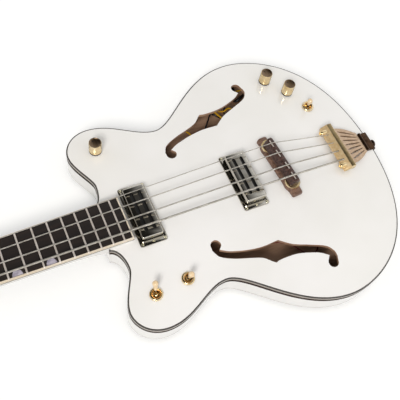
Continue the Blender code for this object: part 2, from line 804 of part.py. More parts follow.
def make_fretboard():
    """The board with its frets, its binding and the nut."""
    end = BOARD_END_X - BOARD_BINDING - GAP
    trim = BOARD_BINDING + GAP
    sections = [
        board_section(x, board_half_width(x) - trim, -BOARD_THICKNESS) for x in (-SCALE, end)
    ]
    board = loft("fretboard", sections, DARK_BOARD, neck_datum)
    wires = bmesh.new()
    for number in range(1, FRET_COUNT + 1):
        x = fret_x(number)
        half = board_half_width(x) - trim
        rings = [
            [wires.verts.new(p) for p in board_section(x + dx, half, -1 * MM, FRET_HEIGHT)]
            for dx in (-FRET_WIDTH / 2, FRET_WIDTH / 2)
        ]
        for i in range(len(rings[0])):
            j = (i + 1) % len(rings[0])
            wires.faces.new((rings[0][i], rings[0][j], rings[1][j], rings[1][i]))
        wires.faces.new(reversed(rings[0]))
        wires.faces.new(rings[1])
    frets = from_bmesh("frets", wires, parent=neck_datum)
    join(board, frets)

    starts = board_half_width(-SCALE), board_half_width(BOARD_END_X)
    drop = crown(starts[1] - BOARD_BINDING)
    outer = [
        (-SCALE, starts[0]), (-SCALE, starts[0] - BOARD_BINDING),
        (BOARD_END_X - BOARD_BINDING, starts[1] - BOARD_BINDING),
        (BOARD_END_X - BOARD_BINDING, -starts[1] + BOARD_BINDING),
        (-SCALE, -starts[0] + BOARD_BINDING), (-SCALE, -starts[0]),
        (BOARD_END_X, -starts[1]), (BOARD_END_X, starts[1]),
    ]
    plate("fretboard_binding", [outer], -BOARD_THICKNESS, drop, CREAM_BINDING, neck_datum, False)

    nut = loft(
        "nut",
        [
            board_section(x, NUT_HALF_WIDTH, NECK_TOP + GAP, STRING_UNDER_NUT - GAP)
            for x in (-SCALE - NUT_THICKNESS, -SCALE - GAP)
        ],
        BONE, neck_datum,
    )
    return nut


def neck_section(x, half, top, depth, squareness):
    """A D-shaped slice of the neck: the squareness is 2 for an ellipse, more for a box."""
    ring = [(x, half, top)]
    count = 9
    for i in range(count):
        angle = math.pi * i / (count - 1)
        c, s = math.cos(angle), math.sin(angle)
        y = half * math.copysign(abs(c) ** (2 / squareness), c)
        z = top - NECK_SHOULDER - (depth - NECK_SHOULDER) * abs(s) ** (2 / squareness)
        ring.append((x, y, z))
    ring.append((x, -half, top))
    return ring


def head_outline():
    """The headstock from above, in the neck's frame, from behind the nut."""
    back = -SCALE - NUT_THICKNESS
    half = [
        (back - 24 * MM, NUT_HALF_WIDTH + 3 * MM),
        (back - 36 * MM, HEAD_HALF_WIDTH - 7 * MM),
        (back - 48 * MM, HEAD_HALF_WIDTH - 1 * MM),
        (back - 62 * MM, HEAD_HALF_WIDTH),
    ]
    corner = 30 * MM
    end = back - HEAD_LENGTH
    rounded = arc((end + corner, HEAD_HALF_WIDTH - corner), corner, 90 * DEGREE, 162 * DEGREE, 7)
    notch = [(end + 5 * MM, 5 * MM), (end + 9 * MM, 0)]
    half += rounded + notch
    return half + [(x, -y) for x, y in reversed(half[:-1])]


def make_neck():
    """The neck with its heel, tenon and headstock."""
    body_x = NECK_END_X - GAP
    back = -SCALE - NUT_THICKNESS
    face, thickness = -HEAD_STEP - BLEND, HEAD_THICKNESS - 2 * BLEND
    sections = []
    for dx, half, square in (
        (42 * MM, HEAD_HALF_WIDTH - 5 * MM, 9),
        (30 * MM, NUT_HALF_WIDTH + 5.5 * MM, 5),
        (16 * MM, NUT_HALF_WIDTH + 0.5 * MM, 3.2),
        (0.5 * MM, NUT_HALF_WIDTH, 2.6),
    ):
        sections.append(neck_section(back - dx, half, face, thickness, square))
    sections.append(neck_section(back, NUT_HALF_WIDTH, NECK_TOP, NECK_DEPTH_AT_NUT, 2.4))
    heel_x = body_x - HEEL_LENGTH
    for share in (0, 0.5, 1):
        x = -SCALE + (heel_x + SCALE) * share
        depth = NECK_DEPTH_AT_NUT + (NECK_DEPTH_AT_HEEL - NECK_DEPTH_AT_NUT) * share
        sections.append(neck_section(x, board_half_width(x), NECK_TOP, depth, 2.4))
    bottom_z = HEEL_ABOVE_BACK
    for share in (0.35, 0.62, 0.82, 1.12):
        x = heel_x + HEEL_LENGTH * share
        full_depth = SCALE_Z + x * BOARD_SLOPE + NECK_TOP - bottom_z
        swell = min(share, 1) ** 2.2
        depth = NECK_DEPTH_AT_HEEL + (full_depth - NECK_DEPTH_AT_HEEL) * swell
        sections.append(neck_section(x, board_half_width(x), NECK_TOP, depth, 2.4 + 0.8 * swell))
    neck = loft("neck", sections, WHITE_LACQUER, neck_datum)

    body_space = plate("space_of_body", [inset(OUTLINE, -GAP)], -10 * MM, EDGE_Z + 60 * MM)
    cut(neck, body_space)
    head = plate("head", [head_outline()], HEAD_BACK, -HEAD_STEP, parent=neck_datum)
    tongue_end = BOARD_END_X - 0.5 * MM
    width = board_half_width(NECK_END_X) - NECK_SHOULDER
    tongue = box(
        "tongue", (NECK_END_X - 8 * MM, -width, NECK_TOP - 18 * MM),
        (tongue_end, width, NECK_TOP - BLEND), parent=neck_datum,
    )
    cut(tongue, over_top)
    tenon_top = RIM_TOP - GAP
    tenon = box(
        "tenon", (NECK_END_X - 8 * MM, -TENON_WIDTH / 2, tenon_top - TENON_HEIGHT),
        (NECK_END_X + TENON_LENGTH, TENON_WIDTH / 2, tenon_top),
    )
    join(neck, head, tongue, tenon)

    rod_half = TRUSS_ROD / 2 + GAP
    channel = box(
        "truss_channel", (back - 14 * MM, -rod_half, NECK_TOP - TRUSS_CHANNEL_DEPTH),
        (heel_x + 20 * MM, rod_half, 10 * MM), parent=neck_datum,
    )
    length, width, depth = TRUSS_POCKET
    pocket = box(
        "truss_pocket", (back - 6 * MM - length, -width / 2, -HEAD_STEP - depth),
        (back - 6 * MM, width / 2, 10 * MM), parent=neck_datum,
    )
    cut(neck, channel, pocket)
    for label, x, y, _ in tuner_places():
        hole = rod(
            f"{label}_post_hole", (x, y, HEAD_BACK - 5 * MM), (x, y, 0),
            POST_RADIUS + RUNNING_GAP, parent=neck_datum,
        )
        cut(neck, hole)
    return neck


def make_truss_rod():
    """The rod in its channel, its nut in the pocket, and the cover over that."""
    back = -SCALE - NUT_THICKNESS
    bottom = NECK_TOP - TRUSS_CHANNEL_DEPTH + GAP
    half = TRUSS_ROD / 2
    heel_x = NECK_END_X - HEEL_LENGTH
    bar = box(
        "truss_rod", (back - 12 * MM, -half, bottom),
        (heel_x + 20 * MM - GAP, half, bottom + TRUSS_ROD), STEEL, neck_datum,
    )
    top = -HEAD_STEP + GAP
    start, end = back - 2 * MM, back - 2 * MM - COVER_LENGTH
    half = [(start, COVER_HALF_WIDTH * 0.75), (start - 10 * MM, COVER_HALF_WIDTH * 0.8)]
    half += arc((end + COVER_HALF_WIDTH, 0), COVER_HALF_WIDTH, 75 * DEGREE, 180 * DEGREE, 7)
    outline = half + [(x, -y) for x, y in reversed(half[:-1])]
    plate("truss_rod_cover", [outline], top, top + COVER_THICKNESS, BLACK_PLASTIC, neck_datum)
    return bar


def tuner_places():
    """Each tuner's label, place and side, in the order of the strings."""
    nut = -SCALE - NUT_THICKNESS
    near_x, far_x = nut - NEAR_POST[0], nut - FAR_POST[0]
    return (
        ("g", near_x, NEAR_POST[1], 1),
        ("d", far_x, FAR_POST[1], 1),
        ("a", far_x, -FAR_POST[1], -1),
        ("e", near_x, -NEAR_POST[1], -1),
    )


def make_tuner(label, x, y, side):
    """One tuner: its housing on the headstock's back, the post with its wheel, and the key."""
    top = HEAD_BACK - GAP
    wheel_mid = top - HOUSING_THICKNESS - RUNNING_GAP - WORM_RADIUS
    worm_x = x + GEAR_RADIUS + WORM_RADIUS + RUNNING_GAP
    ear_y = WORM_LENGTH / 2 + RUNNING_GAP
    ear_bottom = wheel_mid - EAR_MARGIN

    low_x = x - GEAR_RADIUS - 1 * MM
    high_x = worm_x + WORM_RADIUS + 2 * MM
    housing = box(
        f"tuner_housing_{label}", (low_x, y - HOUSING_WIDTH / 2, top - HOUSING_THICKNESS),
        (high_x, y + HOUSING_WIDTH / 2, top), CHROME, neck_datum,
    )
    for index, way in enumerate((1, -1)):
        inner = y + way * ear_y
        outer = inner + way * EAR_THICKNESS
        ear = box(
            f"{label}_ear_{index}",
            (worm_x - WORM_RADIUS, min(inner, outer), ear_bottom),
            (worm_x + WORM_RADIUS, max(inner, outer), top - HOUSING_THICKNESS / 2),
            parent=neck_datum,
        )
        join(housing, ear)
    shaft_hole = rod(
        f"{label}_shaft_hole", (worm_x, y - 30 * MM, wheel_mid), (worm_x, y + 30 * MM, wheel_mid),
        KEY_SHAFT + RUNNING_GAP, parent=neck_datum, sides=12,
    )
    post_hole = rod(
        f"{label}_housing_hole", (x, y, top - 10 * MM), (x, y, top + 10 * MM),
        POST_RADIUS + RUNNING_GAP, parent=neck_datum, sides=16,
    )
    cut(housing, shaft_hole, post_hole)

    wheel_bottom = wheel_mid - GEAR_THICKNESS / 2
    head = -HEAD_STEP + POST_HEIGHT - wheel_bottom
    wrap = -HEAD_STEP + WRAP_HEIGHT - wheel_bottom
    post = turned(
        f"tuner_post_{label}",
        [
            (0, head), (POST_RADIUS - 0.8 * MM, head), (POST_RADIUS, head - 0.8 * MM),
            (POST_RADIUS, wrap + 5 * MM), (POST_WAIST, wrap + 3 * MM),
            (POST_WAIST, wrap - 3 * MM), (POST_RADIUS, wrap - 5 * MM),
            (POST_RADIUS, GEAR_THICKNESS), (GEAR_RADIUS, GEAR_THICKNESS),
            (GEAR_RADIUS, 0), (0, 0),
        ],
        CHROME, neck_datum, steps=14,
    )
    place(post, (x, y, wheel_bottom))

    start = ear_y + EAR_THICKNESS + 1 * MM
    reach = KEY_REACH
    profile = [
        (0, reach), (KEY_SHAFT, reach), (KEY_SHAFT, WORM_LENGTH / 2),
        (WORM_RADIUS, WORM_LENGTH / 2), (WORM_RADIUS, -WORM_LENGTH / 2),
        (KEY_SHAFT, -WORM_LENGTH / 2), (KEY_SHAFT, -start), (0, -start),
    ]
    key = turned(f"tuner_key_{label}", profile, CHROME, neck_datum, steps=12)
    bm = bmesh.new()
    bmesh.ops.create_uvsphere(bm, u_segments=14, v_segments=6, radius=1)
    flat = (BUTTON_RADIUS, BUTTON_THICKNESS / 2, BUTTON_RADIUS * 0.85)
    bmesh.ops.scale(bm, vec=flat, verts=bm.verts)
    bmesh.ops.translate(bm, vec=(0, 0, reach + BUTTON_RADIUS * 0.6), verts=bm.verts)
    button = from_bmesh(f"{label}_button", bm, parent=key)
    join(key, button)
    place(key, (worm_x, y, wheel_mid), (-side * 90 * DEGREE, 0, 0))


def string_path(index):
    """The points that one string runs through, from the tailpiece to its post."""
    radius = STRING_RADII[index]
    side = 1 if index < 2 else -1
    outer = index in (0, 3)
    nut_y = side * (NUT_OUTER_Y if outer else NUT_INNER_Y)
    saddle_y = BRIDGE_Y + side * (SADDLE_OUTER_Y if outer else SADDLE_INNER_Y)
    anchor_y = side * (ANCHOR_OUTER_Y if outer else ANCHOR_INNER_Y)
    saddle_x = BRIDGE_X - math.tan(BRIDGE_TURN) * (saddle_y - BRIDGE_Y)
    saddle = Vector((saddle_x, saddle_y, EDGE_Z + STRING_UNDER_SADDLE + radius))
    anchor_z = EDGE_Z + (BAR_FRONT_TOP + BAR_TOP) / 2 - 1 * MM
    anchor_x = (BAR_FRONT_X + BAR_RIDGE_X) / 2 + ANCHOR_DEPTH - GAP
    anchor = Vector((anchor_x, anchor_y, anchor_z))
    nut_x = -SCALE
    nut = on_neck(nut_x, nut_y, STRING_UNDER_NUT + radius)
    behind = on_neck(nut_x - NUT_THICKNESS, nut_y, STRING_UNDER_NUT + radius)
    _, post_x, post_y, _ = tuner_places()[index]
    wrap_z = -HEAD_STEP + WRAP_HEIGHT
    reach = POST_WAIST + radius + GAP
    turn = []
    count = 9
    approach = math.atan2(post_y - side * reach - nut_y, (nut_x - NUT_THICKNESS) - post_x)
    for i in range(count):
        angle = -side * 90 * DEGREE + approach - side * i * 28 * DEGREE
        height = wrap_z - 2 * MM * i / (count - 1)
        turn.append(on_neck(
            post_x + reach * math.cos(angle), post_y + reach * math.sin(angle), height
        ))
    return [anchor, saddle, nut, behind] + turn


def make_strings():
    for index, (name, radius) in enumerate(zip(STRING_NAMES, STRING_RADII)):
        tube(f"string_{name}", string_path(index), radius, STEEL, resolution=1)


def string_height(x):
    """How high the thickest string's middle is over a place along the scale."""
    nut = on_neck(-SCALE, 0, STRING_UNDER_NUT + STRING_RADII[-1]).z
    saddle = EDGE_Z + STRING_UNDER_SADDLE + STRING_RADII[-1]
    return nut + (saddle - nut) * (x + SCALE) / (SCALE + BRIDGE_X)


def rounded_rectangle(x, y, length, width, corner, count=4):
    """An outline with rounded corners, about a middle point."""
    made = []
    for quarter, (sx, sy) in enumerate(((1, 1), (-1, 1), (-1, -1), (1, -1))):
        centre = (x + sx * (length / 2 - corner), y + sy * (width / 2 - corner))
        start = quarter * 90 * DEGREE
        made += arc(centre, corner, start, start + 90 * DEGREE, count)
    return made


def make_pickup(label, x):
    """A frame on the top, a metal cover with two slots, and the coils inside it."""
    frame_top = top_height(x, 0) + PICKUP_FRAME_RISE
    length, width = PICKUP_FRAME_LENGTH, PICKUP_FRAME_WIDTH
    inner_length = length - 2 * PICKUP_FRAME_WALL
    inner_width = width - 2 * PICKUP_FRAME_WALL
    frame = plate(
        f"{label}_pickup_frame",
        [
            rounded_rectangle(x, 0, length, width, PICKUP_CORNER),
            rounded_rectangle(x, 0, inner_length, inner_width, PICKUP_CORNER / 2, 3),
        ],
        EDGE_Z - 1 * MM, frame_top, CHROME,
    )
    cut(frame, over_top)

    cover_length = inner_length - 2 * GAP
    cover_width = inner_width - 2 * GAP
    top = string_height(x) - COVER_BELOW_STRINGS
    bottom = top - COVER_DEPTH
    cover = plate(
        f"{label}_pickup_cover",
        [rounded_rectangle(x, 0, cover_length, cover_width, PICKUP_CORNER / 2, 3)],
        bottom, top, CHROME,
    )
    hollow = box(
        f"{label}_cover_hollow",
        (x - cover_length / 2 + COVER_WALL, -cover_width / 2 + COVER_WALL, bottom - 5 * MM),
        (x + cover_length / 2 - COVER_WALL, cover_width / 2 - COVER_WALL, top - COVER_WALL),
    )
    cut(cover, hollow)
    for index, way in enumerate((-1, 1)):
        middle = x + way * SLOT_SPACING / 2
        slot = plate(
            f"{label}_slot_{index}",
            [rounded_rectangle(middle, 0, SLOT_WIDTH, SLOT_LENGTH, SLOT_WIDTH / 2 - 1e-5, 5)],
            top - 4 * MM, top + 4 * MM,
        )
        cut(cover, slot)
    inset_by = COVER_WALL + GAP
    box(
        f"{label}_pickup_coils",
        (x - cover_length / 2 + inset_by, -cover_width / 2 + inset_by, bottom),
        (x + cover_length / 2 - inset_by, cover_width / 2 - inset_by, top - inset_by),
        BLACK_PLASTIC,
    )


def bar_section(y, width, low, high, crown_width=None):
    """A slice across a bar that runs along Y, wider below than at its crown."""
    upper = (crown_width or width) / 2
    return [(width / 2, y, low), (upper, y, high), (-upper, y, high), (-width / 2, y, low)]


def make_bridge():
    """The floating bridge: base with its posts, thumbwheels, and the saddle."""
    datum = empty("bridge_datum", (BRIDGE_X, BRIDGE_Y, SURFACE_Z + GAP), (0, 0, BRIDGE_TURN))
    foot, body = BRIDGE_FOOT, BRIDGE_BODY_HALF
    base = loft(
        "bridge_base",
        [
            bar_section(-foot, BRIDGE_FOOT_WIDTH, 0, BRIDGE_FOOT_HEIGHT),
            bar_section(-body - 1 * MM, BRIDGE_FOOT_WIDTH, 0, BRIDGE_FOOT_HEIGHT + 1 * MM),
            bar_section(-body + 6 * MM, BRIDGE_BODY_WIDTH, 0, BRIDGE_BODY_HEIGHT),
            bar_section(body - 6 * MM, BRIDGE_BODY_WIDTH, 0, BRIDGE_BODY_HEIGHT),
            bar_section(body + 1 * MM, BRIDGE_FOOT_WIDTH, 0, BRIDGE_FOOT_HEIGHT + 1 * MM),
            bar_section(foot, BRIDGE_FOOT_WIDTH, 0, BRIDGE_FOOT_HEIGHT),
        ],
        ROSEWOOD, datum, False,
    )
    wheel_bottom = BRIDGE_BODY_HEIGHT + GAP
    wheel_top = wheel_bottom + THUMBWHEEL_THICKNESS
    saddle_bottom = wheel_top + GAP
    crown_z = EDGE_Z + STRING_UNDER_SADDLE - GAP - (SURFACE_Z + GAP)
    insert_length, insert_width, insert_height = SADDLE_INSERT
    saddle = loft(
        "saddle",
        [
            bar_section(y, SADDLE_BASE_WIDTH, saddle_bottom, crown_z - insert_height, SADDLE_CROWN_WIDTH)
            for y in (-SADDLE_HALF_LENGTH, SADDLE_HALF_LENGTH)
        ],
        ROSEWOOD, datum, False,
    )
    for index in range(4):
        side = 1 if index < 2 else -1
        y = side * (SADDLE_OUTER_Y if index in (0, 3) else SADDLE_INNER_Y)
        insert = box(
            f"saddle_insert_{index}",
            (-insert_width / 2, y - insert_length / 2, crown_z - 2 * insert_height),
            (insert_width / 2, y + insert_length / 2, crown_z), parent=datum,
        )
        join(saddle, insert)
    post_top = saddle_bottom + BRIDGE_POST_IN_SADDLE
    for label, side in (("treble", 1), ("bass", -1)):
        y = side * THUMBWHEEL_Y
        post = rod(
            f"{label}_post", (0, y, 1 * MM), (0, y, post_top), BRIDGE_POST_RADIUS,
            parent=datum, sides=12,
        )
        join(base, post)
        hole = rod(
            f"{label}_saddle_hole", (0, y, 0), (0, y, post_top + GAP),
            BRIDGE_POST_RADIUS + RUNNING_GAP, parent=datum, sides=12,
        )
        cut(saddle, hole)
        bore, rim = BRIDGE_POST_RADIUS + RUNNING_GAP, THUMBWHEEL_RADIUS
        wheel = turned(
            f"{label}_thumbwheel",
            [
                (bore, THUMBWHEEL_THICKNESS), (rim - 0.5 * MM, THUMBWHEEL_THICKNESS),
                (rim, THUMBWHEEL_THICKNESS - 0.5 * MM), (rim, 0.5 * MM),
                (rim - 0.5 * MM, 0), (bore, 0),
            ],
            GOLD, datum, steps=20, closed=True,
        )
        place(wheel, (0, y, wheel_bottom))


def make_tailpiece():
    """The string bar, its openwork frame, and the bracket that hooks over the tail."""
    half = BAR_HALF_LENGTH
    front, ridge, rear = BAR_FRONT_X, BAR_RIDGE_X, BAR_REAR_X
    top, low = EDGE_Z + BAR_TOP, EDGE_Z + BAR_BOTTOM
    slope_z = EDGE_Z + BAR_FRONT_TOP
    bar = loft(
        "tailpiece_bar",
        [
            [(front, y, low), (front, y, slope_z), (ridge, y, top), (rear - 1.5 * MM, y, top),
             (rear, y, top - 1.5 * MM), (rear, y, low)]
            for y in (-half, half)
        ],
        GOLD, smooth=False,
    )
    lug_z = (slope_z + low) / 2 + 1.5 * MM
    for side in (1, -1):
        lug = rod(
            f"lug_{side}", (front - LUG_REACH, side * LUG_Y, lug_z),
            (ridge, side * LUG_Y, lug_z), LUG_RADIUS, sides=16,
        )
        join(bar, lug)
    for index, radius in enumerate(STRING_RADII):
        path = string_path(index)
        along = (path[0] - path[1]).normalized()
        hole = rod(
            f"anchor_hole_{index}", path[0] - along * 20 * MM, path[0] + along * GAP,
            radius + GAP, sides=10,
        )
        cut(bar, hole)

    start, end = rear + GAP, BRACKET_FRONT_X - ROLL_RADIUS - GAP
    drop = (FRAME_FRONT_Z - FRAME_REAR_Z) / (end - start)
    length = (end - start) * math.sqrt(1 + drop * drop)
    datum = empty(
        "frame_datum", (start, 0, EDGE_Z + FRAME_FRONT_Z), (0, math.atan(drop), 0)
    )
    slack = FRAME_THICKNESS * drop
    outline_half = [
        (slack, FRAME_FRONT_HALF), (length * 0.3, FRAME_FRONT_HALF * 0.93),
        (length * 0.6, FRAME_FRONT_HALF * 0.76), (length * 0.82, FRAME_REAR_HALF * 1.1),
        (length - slack, FRAME_REAR_HALF),
    ]
    outline = outline_half + [(x, -y) for x, y in reversed(outline_half)]
    frame = plate(
        "tailpiece_frame", [outline], -FRAME_THICKNESS, 0, GOLD, datum, smooth=False
    )
    first, last = FRAME_BORDER, length - FRAME_BORDER
    front_width = 2 * (FRAME_FRONT_HALF * 0.95 - FRAME_BORDER)
    rear_width = 2 * (FRAME_REAR_HALF - FRAME_BORDER * 0.8)
    for index in range(FRAME_OPENINGS):
        window = []
        for x, width in ((first, front_width), (last, rear_width)):
            pitch = (width + FRAME_ROD) / FRAME_OPENINGS
            low_y = -width / 2 + index * pitch
            window.append((x, low_y, low_y + pitch - FRAME_ROD))
        (x0, a0, b0), (x1, a1, b1) = window
        corners = [(x0, b0), (x0, a0), (x1, a1), (x1, b1)]
        opening = plate(
            f"frame_opening_{index}", [corners], -FRAME_THICKNESS - 3 * MM, 3 * MM, parent=datum
        )
        cut(frame, opening)

    wide, thick = BRACKET_HALF_WIDTH, BRACKET_THICKNESS
    inner_x, inner_z = TAIL_X + GAP, EDGE_Z + GAP
    profile = [
        (BRACKET_FRONT_X, inner_z), (BRACKET_FRONT_X, inner_z + thick),
        (inner_x + thick * 0.5, inner_z + thick), (inner_x + thick, inner_z + thick * 0.5),
        (inner_x + thick, EDGE_Z - BRACKET_DROP), (inner_x, EDGE_Z - BRACKET_DROP),
        (inner_x, inner_z),
    ]
    bracket = loft(
        "tailpiece_bracket",
        [[(x, y, z) for x, z in profile] for y in (-wide, wide)], GOLD, smooth=False,
    )
    roll_z = inner_z + ROLL_RADIUS
    roll = rod(
        "bracket_roll", (BRACKET_FRONT_X, -wide, roll_z), (BRACKET_FRONT_X, wide, roll_z),
        ROLL_RADIUS, sides=14,
    )
    join(bracket, roll)
    cut(bracket, over_top, bpy.data.objects["tail_screw_hole"])


def make_knob(label, x, y):
    """A barrel knob on the shaft of a pot that hangs under the top."""
    _, clear = lowest_and_highest(x, y, KNOB_RADIUS)
    lift = clear + KNOB_LIFT
    knob = turned(
        f"{label}_knob",
        [
            (0, KNOB_HEIGHT), (KNOB_RADIUS - 0.7 * MM, KNOB_HEIGHT),
            (KNOB_RADIUS, KNOB_HEIGHT - 0.7 * MM), (KNOB_RADIUS, 0),
            (KNOB_RECESS_RADIUS, 0), (KNOB_RECESS_RADIUS, KNOB_RECESS),
            (SHAFT_RADIUS + GAP, KNOB_RECESS), (SHAFT_RADIUS + GAP, SHAFT_HEIGHT + GAP),
            (0, SHAFT_HEIGHT + GAP),
        ],
        GOLD, steps=20,
    )
    place(knob, (x, y, lift))
    nut_bottom = lowest_and_highest(x, y, POT_NUT_RADIUS)[1] + GAP
    nut_top = nut_bottom + 1.8 * MM
    body_top = lowest_and_highest(x, y, POT_RADIUS)[0] - TOP_THICKNESS - GAP
    turned(
        f"{label}_pot",
        [
            (0, lift + SHAFT_HEIGHT), (SHAFT_RADIUS, lift + SHAFT_HEIGHT),
            (SHAFT_RADIUS, nut_top + 1 * MM), (BUSHING_RADIUS, nut_top + 1 * MM),
            (BUSHING_RADIUS, nut_top), (POT_NUT_RADIUS, nut_top),
            (POT_NUT_RADIUS, nut_bottom), (BUSHING_RADIUS, nut_bottom),
            (BUSHING_RADIUS, body_top), (POT_RADIUS, body_top),
            (POT_RADIUS, body_top - POT_HEIGHT), (0, body_top - POT_HEIGHT),
        ],
        STEEL, steps=16,
    ).location = (x, y, 0)


def make_switch(label, x, y, heading, tilt):
    """A three-way toggle: its lever tilts along the heading."""
    ring_bottom = lowest_and_highest(x, y, SWITCH_RING_RADIUS)[1] + GAP
    ring_top = ring_bottom + SWITCH_RING_HEIGHT
    body_top = lowest_and_highest(x, y, SWITCH_BODY_RADIUS)[0] - TOP_THICKNESS - GAP
    pivot = ring_bottom - LEVER_PIVOT_DEPTH
    well = pivot - LEVER_BALL - GAP
    turned(
        f"{label}_switch",
        [
            (0, well), (SWITCH_BORE, well), (SWITCH_BORE, ring_top),
            (SWITCH_RING_RADIUS - 1.6 * MM, ring_top),
            (SWITCH_RING_RADIUS, ring_top - 1.6 * MM), (SWITCH_RING_RADIUS, ring_bottom),
            (SWITCH_BUSHING, ring_bottom), (SWITCH_BUSHING, body_top),
            (SWITCH_BODY_RADIUS, body_top), (SWITCH_BODY_RADIUS, body_top - SWITCH_BODY_HEIGHT),
            (0, body_top - SWITCH_BODY_HEIGHT),
        ],
        GOLD, steps=20,
    ).location = (x, y, 0)
    tip, radius, root = LEVER_LENGTH, LEVER_TIP_RADIUS, LEVER_ROOT_RADIUS
    start = math.asin(root / LEVER_BALL)
    ball = arc((0, 0), LEVER_BALL, 90 * DEGREE - start, -90 * DEGREE, 5)
    lever = turned(
        f"{label}_lever",
        [
            (0, tip), (radius * 0.6, tip - 0.7 * MM), (radius, tip - 3.4 * MM),
            (radius * 0.62, tip - LEVER_TIP_LENGTH + 1 * MM), (root, tip - LEVER_TIP_LENGTH),
        ] + ball[:-1] + [(0, -LEVER_BALL)],
        IVORY, steps=12,
    )
    place(lever, (x, y, pivot), (0, tilt, heading))


def make_jack():
    """The output socket in the side, at the widest place of the lower bout."""
    face = JACK_NUT_HEIGHT
    inside = face - JACK_LENGTH
    jack = turned(
        "output_jack",
        [
            (0, inside + 2 * MM), (JACK_BORE, inside + 2 * MM), (JACK_BORE, face),
            (JACK_NUT_RADIUS - 0.6 * MM, face),
            (JACK_NUT_RADIUS, face - 0.6 * MM), (JACK_NUT_RADIUS, 0),
            (JACK_BARREL_RADIUS, 0), (JACK_BARREL_RADIUS, inside),
            (0, inside),
        ],
        GOLD, steps=16,
    )
    z = EDGE_Z - JACK_BELOW_EDGE
    place(jack, (LOWER_BOUT_X, LOWER_BOUT_HALF_WIDTH + GAP, z), (-90 * DEGREE, 0, 0))


def strap_profile(screw_length):
    """A strap button on its screw; it stands on the plane of height 0."""
    return [
        (0, STRAP_LENGTH), (STRAP_HEAD_RADIUS - 0.8 * MM, STRAP_LENGTH),
        (STRAP_HEAD_RADIUS, STRAP_LENGTH - 0.8 * MM), (STRAP_HEAD_RADIUS, STRAP_LENGTH - 2.6 * MM),
        (STRAP_NECK_RADIUS, STRAP_LENGTH - 4.4 * MM), (STRAP_NECK_RADIUS, 2.4 * MM),
        (STRAP_HEAD_RADIUS * 0.8, 0), (STRAP_SCREW_RADIUS, 0),
        (STRAP_SCREW_RADIUS, -screw_length), (0, -screw_length),
    ]


def make_strap_buttons():
    """The pin in the tail, and a button under the heel."""
    stand = TAIL_X + GAP + BRACKET_THICKNESS + GAP
    screw = STRAP_SCREW_LENGTH - 2 * MM
    tail = turned("tail_strap_button", strap_profile(screw), GOLD, steps=16)
    place(tail, (stand, 0, EDGE_Z - STRAP_PIN_BELOW_EDGE), (0, 90 * DEGREE, 0))
    x = NECK_END_X - HEEL_BUTTON_FROM_BODY
    screw = 10 * MM
    heel = turned("heel_strap_button", strap_profile(screw), GOLD, steps=16)
    seat = heel_bottom_at(x)
    place(heel, (x, 0, seat - GAP), (180 * DEGREE, 0, 0))
    bottom, top = seat - 5 * MM, seat + screw + GAP
    hole = drill("heel_screw_hole", x, 0, STRAP_SCREW_RADIUS + GAP, bottom, top, 12)
    flat = drill("heel_button_seat", x, 0, STRAP_HEAD_RADIUS, seat - 20 * MM, seat, 16)
    cut(bpy.data.objects["neck"], flat, hole)


def heel_bottom_at(x):
    """The height of the flat that is cut for the heel's strap button."""
    neck = bpy.data.objects["neck"]
    mesh = evaluated_mesh(neck)
    mesh.transform(neck.matrix_world)
    under = [v.co.z for v in mesh.vertices if abs(v.co.x - x) < 12 * MM and abs(v.co.y) < 8 * MM]
    bpy.data.meshes.remove(mesh)
    return min(under) + 1.5 * MM


def make_wiring():
    """The lead from the front pickup to the jack, clear of all that hangs from the top."""
    z = BACK_INSIDE_Z + 4 * MM
    pickup_z = string_height(NECK_PICKUP_X) - COVER_BELOW_STRINGS - COVER_DEPTH - GAP
    jack_y = LOWER_BOUT_HALF_WIDTH + JACK_NUT_HEIGHT - JACK_LENGTH
    jack_z = EDGE_Z - JACK_BELOW_EDGE
    points = [
        (NECK_PICKUP_X, 20 * MM, pickup_z), (NECK_PICKUP_X, 20 * MM, pickup_z - 10 * MM),
        (NECK_PICKUP_X + 10 * MM, 28 * MM, z + 4 * MM), (NECK_PICKUP_X + 40 * MM, 50 * MM, z),
        (BRIDGE_PICKUP_X - 30 * MM, 92 * MM, z), (BRIDGE_PICKUP_X + 10 * MM, 108 * MM, z + 3 * MM),
        (BRIDGE_PICKUP_X + 30 * MM, 118 * MM, z + 3 * MM),
        (LOWER_BOUT_X - 14 * MM, 136 * MM, z + 2 * MM),
        (LOWER_BOUT_X - 4 * MM, 150 * MM, jack_z - 4 * MM), (LOWER_BOUT_X, jack_y - 10 * MM, jack_z),
        (LOWER_BOUT_X, jack_y, jack_z),
    ]
    tube("wiring", points, WIRE_RADIUS, CABLE, resolution=1)


def main():
    make_plates()
    make_bindings()
    make_rim_and_blocks()
    make_braces()
    make_fretboard()
    make_neck()
    make_truss_rod()
    for label, x, y, side in tuner_places():
        make_tuner(label, x, y, side)
    make_strings()
    make_pickup("neck", NECK_PICKUP_X)
    make_pickup("bridge", BRIDGE_PICKUP_X)
    make_bridge()
    make_tailpiece()
    for label, x, y in KNOB_PLACES:
        make_knob(label, x, y)
    for label, x, y, heading, tilt in SWITCH_PLACES:
        make_switch(label, x, y, heading, tilt)
    make_jack()
    make_strap_buttons()
    make_wiring()


main()
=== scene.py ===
# %% [markdown]
# # Dressing an electric bass guitar
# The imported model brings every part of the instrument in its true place, with its joints.
# This lesson keeps those places and gives each part its fine form and its finish.
# Loading comes first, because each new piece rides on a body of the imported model.

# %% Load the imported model
import math

import bmesh
import bpy
import numpy as np
from mathutils import Matrix, Vector
from mathutils.geometry import interpolate_bezier


